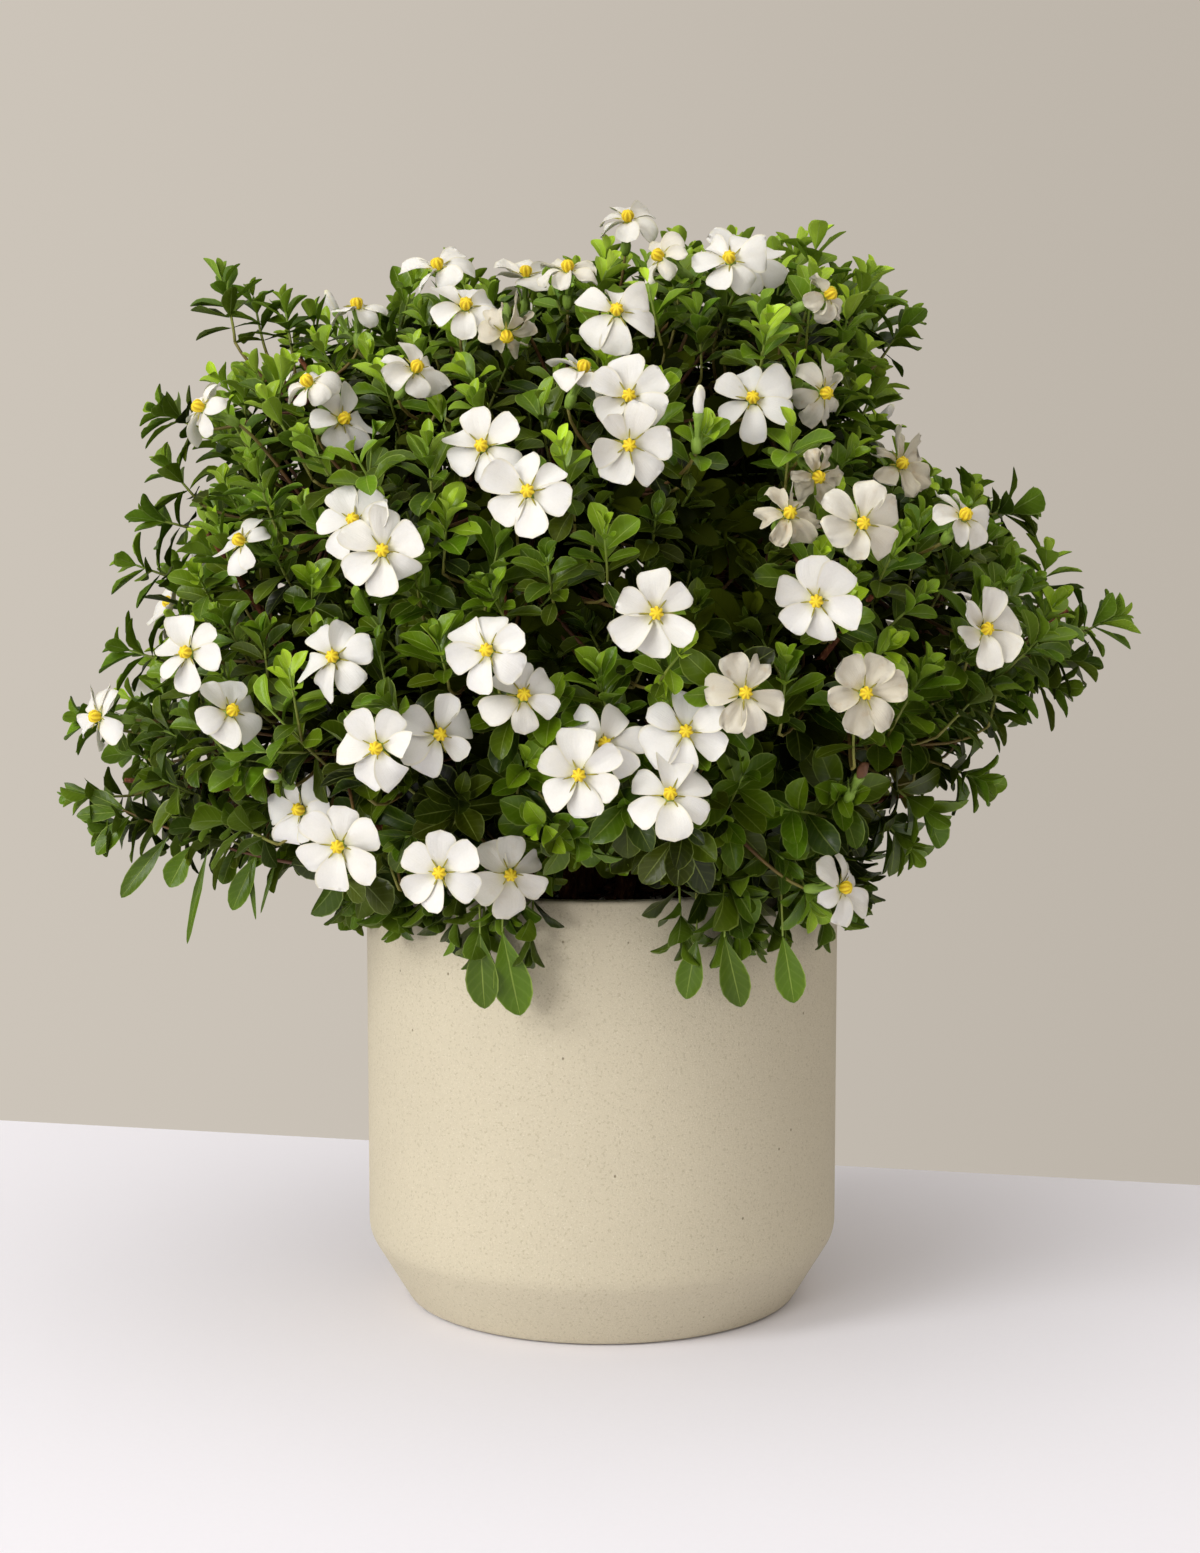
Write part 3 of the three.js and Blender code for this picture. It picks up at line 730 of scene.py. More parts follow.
def grit_group():
    """Cast grit: fine light and dark grains, and a few small pits."""
    group, given, result = new_group(
        "grit",
        {"Place": ("vector",), "Grain size": ("value", 900.0), "Pit size": ("value", 150.0),
         "Pit share": ("value", 0.2)},
        {"Light grains": ("value",), "Dark grains": ("value",), "Pits": ("value",),
         "Height": ("value",)})
    fine = noise(group, given["Place"], given["Grain size"], 2.0, 0.6)
    coarse = noise(group, given["Place"], times(group, given["Grain size"], 0.45), 2.0, 0.5)
    tall = stretched(group, given["Place"], (1.0, 1.0, 0.8))
    cells = add_node(group, "ShaderNodeTexVoronoi", {"Vector": tall, "Scale": given["Pit size"]})
    chosen = add_node(group, "ShaderNodeSeparateColor", {"Color": cells.outputs["Color"]}).outputs[0]
    few = calc(group, "LESS_THAN", chosen, given["Pit share"])
    pits = times(group, opposite(group, between(group, cells.outputs["Distance"], 0.05, 0.12)), few)
    grains = calc(group, "MULTIPLY_ADD", coarse, 0.6, fine)
    join(group, between(group, fine, 0.56, 0.7), result["Light grains"])
    join(group, between(group, coarse, 0.44, 0.3), result["Dark grains"])
    join(group, pits, result["Pits"])
    join(group, calc(group, "SUBTRACT", grains, times(group, pits, 2.5)), result["Height"])
    return group


mottle = mottle_group()
leaf_veins = vein_group()
grit = grit_group()


def mottled(tree, place, colour, patch_size, grain_size, amount):
    """The colour with the mottle's patches and grain, and the grain itself."""
    node = use_group(tree, mottle, colour=colour, place=place, patch_size=patch_size,
                     grain_size=grain_size, amount=amount)
    return node["Colour"], node["Grain"]


# ---- finishes -------------------------------------------------------------------------------

def leaf_finish(name, greens, rib, rough, specular, underside=False):
    """Evergreen leaf, with greens from old to young: tone red is youth, darkened deeper in the crown
    as painted shade, green is chance and blue is browning."""
    material, tree, shader, place = new_finish(name, Specular_IOR_Level=specular)
    tone = tone_of(tree)
    veins = use_group(tree, leaf_veins, vein_count=7.0)
    colour, grain = mottled(tree, place, ramp(tree, tone["Red"], *zip((0.0, 0.45, 1.0), greens)),
                            45.0, 500.0, 0.34)
    colour = mixed(tree, times(tree, tone["Green"], 0.3), colour, shade("#76860c"))
    colour = mixed(tree, tone["Blue"], colour, shade("#5f3518"))
    pale = calc(tree, "MULTIPLY_ADD", tone["Red"], 0.5, 0.5)
    # The midrib and veins are the leaf's own paler colour; the rim mark is a painted highlight in the same
    # pale green
    for mark, share in (("Veins", 0.05), ("Midrib", 0.36), ("Painted rim highlight", 0.4)):
        colour = mixed(tree, times(tree, veins[mark], share, pale), colour, shade(rib))
    sunk = times(tree, veins["Midrib"], 1.0 if underside else -1.0)
    ridges = calc(tree, "MULTIPLY_ADD", veins["Veins"], 0.3 if underside else -0.16, sunk)
    height = calc(tree, "MULTIPLY_ADD", grain, 0.25, ridges)
    coat(tree, shader, colour, grain, (rough, 0.16), height, (0.55, 0.0004))
    return material


def petal_finish(name, back=False):
    """Soft waxy petal: tone red is age, green is chance, blue is the distance from the throat."""
    material, tree, shader, place = new_finish(
        name, Specular_IOR_Level=0.35, Sheen_Weight=0.12, Sheen_Roughness=0.5,
        Subsurface_Weight=0.25, Subsurface_Radius=(1.0, 0.9, 0.7), Subsurface_Scale=0.0015)
    tone = tone_of(tree)
    surface, parts = surface_of(tree)
    aged = ramp(tree, tone["Red"], (0.0, "#dddbd6"), (0.5, "#d6d1c4"), (1.0, "#c6bda8"))
    side_edge = between(tree, off_midrib(tree, parts), 0.4, 0.5)
    tip_edge = between(tree, parts["Y"], 0.88, 1.0)
    edge = times(tree, calc(tree, "MAXIMUM", side_edge, tip_edge), 0.5)
    creamy = mixed(tree, edge, aged, shade("#dcd4ae"))
    throat = opposite(tree, between(tree, parts["Y"], 0.02, 0.3))
    green = mixed(tree, times(tree, throat, 0.5), creamy, shade("#d3d498"))
    colour, _ = mottled(tree, place, green, 70.0, 900.0, 0.12)
    stain = between(tree, noise(tree, place, 130.0, 4.0), 0.55, 0.75)
    worn = times(tree, stain, times(tree, tone["Red"], 0.5))
    lines = noise(tree, stretched(tree, surface, (26.0, 2.2, 1.0)), 1.0, 3.0, 0.6)
    crepe = noise(tree, place, 420.0)
    height = calc(tree, "MULTIPLY_ADD", crepe, 0.5, lines)
    colour = mixed(tree, worn, colour, shade("#b89a6a"))
    coat(tree, shader, colour, crepe, (0.42, 0.2), height, (0.5 if back else 0.38, 0.0004))
    return material


def speckled_finish(name, stops, speckle, gloss, bump, specular, from_foot=False):
    """A speckled skin whose colour runs through the stops, by tone red or along its own surface."""
    material, tree, shader, place = new_finish(name, Specular_IOR_Level=specular)
    run = surface_of(tree)[1]["Y"] if from_foot else tone_of(tree)["Red"]
    colour, grain = mottled(tree, place, ramp(tree, run, *stops), *speckle)
    coat(tree, shader, colour, grain, gloss, grain, bump)
    return material


def bark_finish():
    """Old stems: reddish brown bark with long fissures and pale corky dots."""
    material, tree, shader, place = new_finish("stem bark", Specular_IOR_Level=0.25)
    fibres = noise(tree, stretched(tree, place, (1.0, 1.0, 0.22)), 420.0, 5.0, 0.65)
    body = ramp(tree, fibres, (0.25, "#35190f"), (0.5, "#6b3a22"), (0.75, "#9a6a44"))
    colour, _ = mottled(tree, place, body, 60.0, 900.0, 0.4)
    cells = add_node(tree, "ShaderNodeTexVoronoi", {"Vector": place, "Scale": 330.0})
    dots = opposite(tree, between(tree, cells.outputs["Distance"], 0.1, 0.22))
    colour = mixed(tree, times(tree, dots, 0.5), colour, shade("#b08d63"))
    height = calc(tree, "MULTIPLY_ADD", dots, 0.3, fibres)
    coat(tree, shader, colour, fibres, (0.6, 0.3), height, (0.8, 0.0012))
    return material


def planter_finish():
    """Matt sandstone-coloured casting: fine grit, soft cloudy patches and small pits."""
    material, tree, shader, place = new_finish("cast sandstone", Specular_IOR_Level=0.3)
    grains = use_group(tree, grit, place=place, grain_size=1400.0, pit_size=130.0, pit_share=0.04)
    colour, _ = mottled(tree, place, shade("#c6bda6"), 9.0, 260.0, 0.1)
    for mark, share, code in (("Light grains", 0.6, "#ddd6c4"), ("Dark grains", 0.5, "#a59b82"),
                              ("Pits", 0.75, "#6b5f45")):
        colour = mixed(tree, times(tree, grains[mark], share), colour, shade(code))
    coat(tree, shader, colour, grains["Dark grains"], (0.78, 0.08), grains["Height"], (0.4, 0.0009))
    return material


def crumb_finish(name, dark, middle, pale, size, rough):
    """Crumbly matter such as potting mix, bark chips or perlite: tone green is chance."""
    material, tree, shader, place = new_finish(name, Specular_IOR_Level=0.2)
    crumbs = noise(tree, place, size, 6.0, 0.7)
    chance = calc(tree, "SUBTRACT", tone_of(tree)["Green"], 0.5)
    shift = calc(tree, "MULTIPLY_ADD", chance, 0.35, crumbs)
    body = ramp(tree, shift, (0.28, dark), (0.5, middle), (0.78, pale))
    colour, _ = mottled(tree, place, body, size * 0.3, size * 3.0, 0.4)
    coat(tree, shader, colour, crumbs, (rough, 0.2), crumbs, (0.9, 0.0015))
    return material


LEAF_UPPER = leaf_finish("leaf upper face", ("#050b01", "#53770c", "#aecf2e"), "#c3d66c", 0.24, 0.26)
LEAF_UNDER = leaf_finish("leaf underside", ("#0b1403", "#5f811c", "#a8c344"), "#b1c474", 0.45, 0.16, True)
# Near-black copies of the leaf finishes, with little gloss: painted shade for the leaves inside the crown
PAINTED_SHADE_UPPER = leaf_finish(
    "leaf upper face in painted shade", ("#010300", "#060d01", "#162a05"), "#1c300a", 0.55, 0.05)
PAINTED_SHADE_UNDER = leaf_finish(
    "leaf underside in painted shade", ("#020400", "#081003", "#182b08"), "#1e300c", 0.6, 0.05, True)
PETAL_FACE = petal_finish("petal face")
PETAL_BACK = petal_finish("petal back", back=True)
# Tone red is the depth of a groove in the stigma, where its colour is painted darker as shade, and how woody
# a calyx or a twig is
STIGMA_YELLOW = speckled_finish(
    "stigma yellow", ((0.0, "#ecd42e"), (0.6, "#d3af1c"), (1.0, "#927512")),
    (300.0, 2400.0, 0.4), (0.45, 0.3), (0.5, 0.0003), 0.3)
ANTHER_OLIVE = speckled_finish(
    "anther olive", ((0.0, "#a9a33c"), (0.6, "#96903a"), (1.0, "#7a7434")),
    (500.0, 2600.0, 0.5), (0.55, 0.2), (0.6, 0.0003), 0.3, from_foot=True)
SHOOT_GREEN = speckled_finish(
    "green shoot skin", ((0.0, "#7d9a3a"), (0.4, "#75742f"), (0.7, "#65422a"), (1.0, "#3f2417")),
    (140.0, 1500.0, 0.5), (0.42, 0.25), (0.5, 0.0005), 0.4)
BARK = bark_finish()
SANDSTONE = planter_finish()
MIX = crumb_finish("potting mix", "#120a06", "#2c1a11", "#57392a", 240.0, 0.8)
CHIPS = crumb_finish("bark chips", "#2c160d", "#5a3320", "#8d6245", 320.0, 0.7)
PERLITE = crumb_finish("perlite grains", "#b9b2a4", "#d8d3c8", "#efebe2", 500.0, 0.75)
LEAF_FINISHES = (LEAF_UPPER, LEAF_UNDER, PAINTED_SHADE_UPPER, PAINTED_SHADE_UNDER)
BLOOM_FINISHES = (PETAL_FACE, PETAL_BACK, STIGMA_YELLOW, ANTHER_OLIVE, SHOOT_GREEN)
# The numbers of these finishes, where a Copies starts
PAINTED_SHADE, STIGMA, ANTHER, CALYX = 2, 2, 3, 4


# ---- planter --------------------------------------------------------------------------------

def rounded_path(points, steps=6):
    """A path of (radius, height, rounding) corners with each corner rounded by its own amount."""
    path = []
    for i, (radius, height, rounding) in enumerate(points):
        here = np.array((radius, height))
        if rounding == 0:
            path.append(tuple(here))
            continue
        before = np.array(points[i - 1][:2]) - here
        after = np.array(points[i + 1][:2]) - here
        start = here + before / np.linalg.norm(before) * rounding
        end = here + after / np.linalg.norm(after) * rounding
        for t in np.linspace(0, 1, steps):
            path.append(tuple((1 - t) ** 2 * start + 2 * t * (1 - t) * here + t * t * end))
    return path


def with_edge_loops(path, longest):
    """The same path with long straight runs divided, so that shading stays even."""
    divided = [path[0]]
    for before, after in zip(path, path[1:]):
        parts = max(1, math.ceil(math.dist(before, after) / longest))
        before, after = np.array(before), np.array(after)
        divided += [tuple(blend(before, after, k / parts)) for k in range(1, parts + 1)]
    return divided


def drain_hole(angle):
    """A cutter for one drain hole."""
    across, ahead = DRAIN_HOLE_CIRCLE * math.sin(angle), -DRAIN_HOLE_CIRCLE * math.cos(angle)
    mesh = bpy.data.meshes.new("drain hole")
    cutter = bmesh.new()
    radius = DRAIN_HOLE_RADIUS * MM
    bmesh.ops.create_cone(cutter, cap_ends=True, segments=DRAIN_HOLE_SIDES, radius1=radius,
                          radius2=radius, depth=3 * POT_BASE * MM)
    bmesh.ops.translate(cutter, verts=cutter.verts, vec=Vector((across, ahead, POT_BASE / 2)) * MM)
    cutter.to_mesh(mesh)
    cutter.free()
    return link_object("drain hole", mesh)


def make_planter():
    """The cast pot: straight wall, bevelled foot, open top and three drain holes."""
    inner = POT_RADIUS - POT_WALL
    lean = (POT_RADIUS - FOOT_RADIUS) / BEVEL_HEIGHT
    corners = (
        (0.0, 0.0, 0),
        (FOOT_RADIUS, 0.0, 3.5),
        (POT_RADIUS, BEVEL_HEIGHT, 7.0),
        (POT_RADIUS, POT_HEIGHT, 2.6),
        (inner, POT_HEIGHT, 2.2),
        (inner, BEVEL_HEIGHT + 2, 8.0),
        (inner - lean * (BEVEL_HEIGHT - POT_BASE), POT_BASE, 6.0),
        (0.0, POT_BASE, 0),
    )
    profile = with_edge_loops(rounded_path(corners), EDGE_LOOP_SPACING)
    pot = make_piece("planter_casting", [Copies(*turned_profile(profile, POT_SIDES))], [SANDSTONE])
    holes = [drain_hole(math.radians(turn)) for turn in DRAIN_HOLE_TURNS]
    for hole in holes:
        cut = pot.modifiers.new("drain hole", "BOOLEAN")
        cut.operation, cut.solver, cut.object = "DIFFERENCE", "EXACT", hole
    settle_modifiers(pot)
    for hole in holes:
        bpy.data.objects.remove(hole)
    pot.data.set_sharp_from_angle(angle=math.radians(POT_SHARP_ANGLE))
    belongs(pot, "planter", "planter")


# ---- potting mix ----------------------------------------------------------------------------

def soil_height(x, y):
    """Height of the mix, higher in the middle and crumbly all over."""
    place = np.stack([x, y, np.zeros_like(x)], axis=-1)
    out = np.hypot(x, y) / SOIL_RADIUS
    crumbs = sum(height * ripple(place, spacing, seed) for height, spacing, seed in SOIL_CRUMBS)
    return SOIL_TOP - SOIL_DOME * out ** 2 + crumbs * (1 - out ** 8)


def chip_pattern():
    """The six sharp-edged faces of a chip."""
    faces = ((0, 3, 2, 1), (4, 5, 6, 7), (0, 1, 5, 4), (1, 2, 6, 5), (2, 3, 7, 6), (3, 0, 4, 7))
    return Pattern(faces, [0] * 6, [(0.5, 0.5)] * 8, [True] * 8)


def chips(rng, count, *spans):
    """Broken chips that lie on the mix, in every direction."""
    square = ((-1, -1), (1, -1), (1, 1), (-1, 1))
    corners = np.array([(x, y, z) for z in (-1, 1) for x, y in square], float)
    sizes = np.stack([rng.uniform(*span, count) for span in spans], axis=1)
    shapes = corners[None] * sizes[:, None, :] / 2 * rng.uniform(0.6, 1.1, (count, 8, 3))
    spin, lean = rng.uniform(0, 2 * math.pi, count), rng.normal(0, 0.3, count)
    first = np.stack([np.cos(spin) * np.cos(lean), np.sin(spin) * np.cos(lean), np.sin(lean)], axis=1)
    side = np.stack([-np.sin(spin), np.cos(spin), rng.normal(0, 0.3, count)], axis=1)
    third = unit(np.cross(first, side))
    second = np.cross(third, first)
    turned = (shapes[..., 0:1] * first[:, None] + shapes[..., 1:2] * second[:, None]
              + shapes[..., 2:3] * third[:, None])
    out = (SOIL_RADIUS - 8) * np.sqrt(rng.uniform(0, 1, count))
    around = rng.uniform(0, 2 * math.pi, count)
    x, y = out * np.cos(around), out * np.sin(around)
    middle = np.stack([x, y, soil_height(x, y) + sizes[:, 2] * 0.3], axis=1)
    return turned + middle[:, None, :]


def make_potting_mix():
    """One body of mix in the pot, with bark chips and perlite lying in its surface."""
    rng = np.random.default_rng(MIX_SEED)
    foot = POT_BASE + SOIL_GAP
    outs = np.linspace(0, SOIL_RADIUS, SOIL_RINGS + 1)[1:]
    wall = [(FOOT_RADIUS - POT_WALL - 4, foot), (SOIL_RADIUS, BEVEL_HEIGHT + 4), (SOIL_RADIUS, SOIL_TOP - 30)]
    profile = [(0.0, foot), *wall, *((out, SOIL_TOP) for out in outs[::-1]), (0.0, SOIL_TOP)]
    pattern, points = turned_profile(profile, SOIL_SIDES)
    top = points[0, :, 2] > SOIL_TOP - 1
    points[0, top, 2] = soil_height(points[0, top, 0], points[0, top, 1])
    bark = chips(rng, *BARK_CHIPS)
    perlite = chips(rng, *PERLITE_GRAINS)
    luck = rng.uniform(0, 1, (len(bark), 3))
    chip = chip_pattern()
    plain = (0.0, 0.5, 0.0)
    copies = [Copies(pattern, points, plain), Copies(chip, bark, luck, 1), Copies(chip, perlite, plain, 2)]
    belongs(make_piece("potting_mix_body", copies, [MIX, CHIPS, PERLITE]), "potting_mix", "potting_mix")


# ---- crown shape ----------------------------------------------------------------------------

def outline_reach(across, rise):
    """How far the outline seen from the front lies from the crown's middle, in each direction."""
    angles, reaches = zip(*CROWN_OUTLINE)
    return np.interp(np.degrees(np.arctan2(rise, across)), angles, reaches, period=360)


def crown_reach(ways):
    """How far the crown reaches from its middle in each direction."""
    outline = outline_reach(ways[:, 0], ways[:, 2])
    flat, deep = np.sqrt(1 - ways[:, 1] ** 2), ways[:, 1]
    reach = 1 / np.sqrt((flat / outline) ** 2 + (deep / CROWN_DEPTH) ** 2)
    return reach * (1 + 0.045 * ripple(ways * 260, 120.0, 21) * np.abs(deep))


def crown_share(points):
    """How far out points lie, from 0 at the crown's middle to 1 at its surface."""
    offset = points - CROWN_MIDDLE
    return np.linalg.norm(offset, axis=1) / crown_reach(unit(offset))


def crown_point(ways, share=1.0):
    """The points that lie in these directions from the crown's middle, at a share of its reach."""
    return CROWN_MIDDLE + ways * (crown_reach(ways) * share)[:, None]


def crown_front(across, height):
    """How far forward the crown reaches at a place seen from the front."""
    rise = height - CROWN_MIDDLE[2]
    share = (across ** 2 + rise ** 2) / outline_reach(across, rise) ** 2
    return -CROWN_DEPTH * math.sqrt(max(0.0, 1 - share))


def over_pot(points, radius, height):
    """True where points lie low over the pot: inside the radius, and below the height."""
    return (np.hypot(points[..., 0], points[..., 1]) < radius) & (points[..., 2] < height)


def within_outline(points, eye, share):
    """True where points, as the viewer sees them, lie inside that share of the crown's outline."""
    seen = eye + (points - eye) * ((OUTLINE_DEPTH - eye[1]) / (points[..., 1:2] - eye[1]))
    rise = seen[..., 2] - CROWN_MIDDLE[2]
    return np.hypot(seen[..., 0], rise) < share * outline_reach(seen[..., 0], rise)


# ---- stems ----------------------------------------------------------------------------------

def thin_arms(mesh):
    """Draws the arms thinner towards their ends, where they turn into twigs."""
    points = np.empty(3 * len(mesh.vertices), np.float32)
    ways = points.copy()
    mesh.vertices.foreach_get("co", points)
    mesh.vertices.foreach_get("normal", ways)
    points, ways = points.reshape(-1, 3) / MM, ways.reshape(-1, 3)
    amount = ARM_THINNING * ease(crown_share(points), 0.3, 0.8) * (points[:, 2] > ARM_START)
    thinner = (points - ways * amount[:, None]) * MM
    mesh.vertices.foreach_set("co", thinner.astype(np.float32).ravel())
    mesh.update()


def make_stems():
    """Each woody stem is grown over its CAD solid, so its fork is one skin."""
    for name in nodes_named("stem_"):
        wood = link_object(name.replace("stem_", "wood_"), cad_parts[name].data.copy())
        weld = wood.modifiers.new("weld", "WELD")
        weld.merge_threshold = 1e-6
        skin = wood.modifiers.new("skin", "REMESH")
        skin.mode, skin.voxel_size, skin.use_smooth_shade = "VOXEL", STEM_VOXEL * MM, True
        smooth = wood.modifiers.new("smooth", "SMOOTH")
        smooth.factor, smooth.iterations = 0.5, 6
        settle_modifiers(wood)
        thin_arms(wood.data)
        wood.data.materials.clear()
        wood.data.materials.append(BARK)
        belongs(wood, "bark", name)


# ---- blooms ---------------------------------------------------------------------------------

class Bloom:
    """One flower: its name, place, the way it faces, and how its petals lie."""

    def __init__(self, name, place, way, size, roll, bend, age, node=None):
        self.name, self.place, self.way, self.node = name, np.asarray(place, float), unit(way), node
        self.size, self.roll, self.bend, self.age = size, roll, bend, age
        side = np.cross((0.0, 0.0, 1.0), self.way)
        self.side = unit(side) if np.linalg.norm(side) > 1e-3 else np.array((1.0, 0.0, 0.0))
        self.up = np.cross(self.way, self.side)
        self.reach = BLOOM_RADIUS * size

    def ring(self):
        """Points round the tips of its petals."""
        angles = np.radians(np.arange(0, 360, 45))[:, None]
        return self.place + self.reach * (np.cos(angles) * self.side + np.sin(angles) * self.up)

    def put(self, points):
        """Points from the bloom's own frame, where it faces +Z, to the crown's."""
        return (self.place + points[..., 0:1] * self.side + points[..., 1:2] * self.up
                + points[..., 2:3] * self.way)

    def end(self):
        """The end of the flower tube, where its stalk begins."""
        return self.place - self.way * (TUBE_LENGTH - 1)


def front_bloom(name, across, height, turn, tilt, *looks):
    """A bloom on the viewer's side, lying on the crown's surface."""
    return Bloom(name, (across, crown_front(across, height) + 6.0, height), facing(turn, tilt), *looks)


def back_blooms(front, eye):
    """Blooms round the sides and back, where they neither crowd the others nor widen the outline."""
    rng = np.random.default_rng(BACK_BLOOM_SEED)
    ways = unit(rng.normal(size=(BACK_BLOOM_TRIES, 3)))
    above = ways[:, 2] > -0.55
    behind = ways[:, 1] > -0.12 - 0.25 * (ways[:, 2] > 0.8)
    ways = ways[above & behind]
    places = crown_point(ways) - ways * 9
    taken = np.array([bloom.place for bloom in front])
    far = np.array([np.min(np.linalg.norm(taken - place, axis=1)) > BLOOM_CLEARANCE for place in places])
    ways, places = ways[far], places[far]
    found = []
    for i in thin_out(places, BACK_BLOOM_SPACING):
        out = unit(ways[i] * (0.7, 0.9, 0.7) + np.array((0, 0, 0.22)) + rng.normal(0, 0.25, 3))
        looks = rng.uniform(0.84, 1.04), rng.uniform(0, 60), rng.uniform(-34, 4), rng.uniform(0, 1) ** 2.5
        bloom = Bloom(f"flower_{len(front) + len(found) + 1:02d}", places[i], out, *looks)
        if within_outline(bloom.ring(), eye, 0.97).all():
            found.append(bloom)
    return found


def list_blooms(eye):
    """Every bloom: the named ones, more on the viewer's side, and those round the sides and back."""
    blooms = []
    for number, (turn, tilt, *looks) in enumerate(NAMED_BLOOMS, 1):
        node, way = f"bloom_{number:02d}", facing(turn, tilt)
        points = node_points(node)
        tip = points[np.argmax(points @ way)]
        blooms.append(Bloom(f"flower_{number:02d}", tip - way * STIGMA_LENGTH, way, *looks, node))
    for number, place in enumerate(MORE_BLOOMS, len(blooms) + 1):
        blooms.append(front_bloom(f"flower_{number:02d}", *place))
    return blooms + back_blooms(blooms, eye)


def list_buds():
    """The closed buds, each with its length and how red it is."""
    found = []
    for number, (*place, length, red) in enumerate(FRONT_BUDS, 1):
        found.append((front_bloom(f"bud_{number:02d}", *place, *BUD_LOOKS), length, red))
    for number, (turn, tilt) in enumerate(BACK_BUDS, len(found) + 1):
        way = facing(turn, tilt)
        place = crown_point(way[None])[0] - way * 4
        bud = Bloom(f"bud_{number:02d}", place, unit(way + (0, 0, 0.6)), *BUD_LOOKS)
        found.append((bud, BACK_BUD_LENGTH, 0.0))
    return found


PETAL_BLADE = Blade(PETAL_STATIONS, PETAL_COLUMNS)
# Anthers and the lobes of a calyx
NARROW_BLADE = Blade(NARROW_STATIONS, (-1.0, 0.0, 1.0), two_faced=False)


def spun(out, side, height, angle):
    """Points so far out, to the side and up, turned round a bloom's axis by an angle in radians."""
    return np.stack([out * math.cos(angle) - side * math.sin(angle),
                     out * math.sin(angle) + side * math.cos(angle), height], axis=1)


def petal_half_width(along):
    """Broad obovate petal: narrow at the throat, widest past its middle, blunt at the tip."""
    rise = 0.2 + 0.8 * np.sin(math.pi / 2 * np.clip(along / PETAL_WIDEST, 0, 1)) ** 1.1
    past = np.clip(along - PETAL_WIDEST, 0, 1) / (1 - PETAL_WIDEST)
    return rise * np.sqrt(np.clip(1 - past ** 2.25, 0, 1))


def petal_lift(age, luck):
    """How far a petal's face stands off its bent middle, and the part of it that is the cup."""
    t, u = PETAL_BLADE.along, PETAL_BLADE.across
    open_part = np.sin(math.pi * np.clip(t, 0, 1) ** 0.8)
    cup = (1.1 + 1.2 * luck[5] + 1.2 * age) * u ** 2 * open_part
    pinwheel = 0.95 * u * open_part
    groove = -0.5 * np.exp(-(u / 0.16) ** 2) * np.sin(math.pi * t)
    crease = (0.6 + 3.8 * age) * (
        np.sin(5.2 * t + 2.6 * u + 3 * luck[6]) * 0.5
        + np.sin(8.5 * u * (0.4 + t) + 5 * luck[7]) * 0.32
        + np.sin(11 * t + 4 * luck[8]) * 0.25 * np.abs(u)
        + age * np.sin(13 * u * (0.5 + t) + 6 * luck[6]) * 0.3) * t
    lean = 3.0 * luck[8] * u * t
    return cup + pinwheel + groove + crease + lean, cup


def petal_points(bloom, rng):
    """Six petals that overlap like a pinwheel, each bent, cupped and creased in its own way."""
    t, u = PETAL_BLADE.along, PETAL_BLADE.across
    petals = []
    for number in range(PETALS):
        luck = rng.normal(size=10)
        length = (bloom.reach - THROAT_RADIUS) * (0.99 + 0.07 * luck[0])
        ragged = 1 + 0.06 * np.sin(8 * t + 4 * luck[9] + 1.5 * u) * t
        broad = 0.4 * length * (1 + 0.1 * luck[1] - 0.08 * bloom.age)
        half = broad * petal_half_width(t) * ragged
        start = math.radians(20 + 7 * luck[2])
        end = math.radians(bloom.bend * 1.5 + (22 + 10 * bloom.age) * luck[3] - 12 * bloom.age)
        bend = end - start
        angle = start + bend * t
        out = THROAT_RADIUS + length * (np.sin(angle) - math.sin(start)) / bend
        up = 0.4 - length * (np.cos(angle) - math.cos(start)) / bend
        notch = 0.035 * length * np.exp(-((u - 0.15 * luck[4]) / 0.3) ** 2) * t ** 6
        tip_wave = 0.03 * length * np.sin(4.5 * u + 5 * luck[4]) * t ** 4
        out = out - (notch + tip_wave) * np.cos(angle)
        lift, cup = petal_lift(bloom.age, luck)
        depth = lift - PETAL_THICKNESS * PETAL_BLADE.under * np.sqrt(np.clip(1 - u ** 2, 0, 1))
        side = half * u * (1 - 0.03 * cup)
        way = math.radians(bloom.roll + number * PETAL_STEP + 5 * luck[9])
        petals.append(spun(out - np.sin(angle) * depth, side, up + np.cos(angle) * depth + 1.3, way))
    return bloom.put(np.array(petals))


def anther_points(bloom, rng):
    """Six thin anthers that lie between the petals, pointing outward."""
    t, u = NARROW_BLADE.along, NARROW_BLADE.across
    anthers = []
    for number in range(PETALS):
        way = math.radians(bloom.roll + 30 + number * PETAL_STEP + rng.normal(0, 5))
        length = rng.uniform(6.0, 8.0) * bloom.size
        half = 0.5 * np.sin(math.pi * (0.12 + 0.88 * t)) ** 0.6
        lift = 3.6 + math.radians(16 + bloom.bend * 0.45 + rng.normal(0, 6)) * length * t
        height = lift + 0.45 * (1 - np.abs(u)) * (1 - 2 * NARROW_BLADE.under) * np.sin(math.pi * t)
        anthers.append(spun(3.2 + length * t, half * u, height, way))
    return bloom.put(np.array(anthers))


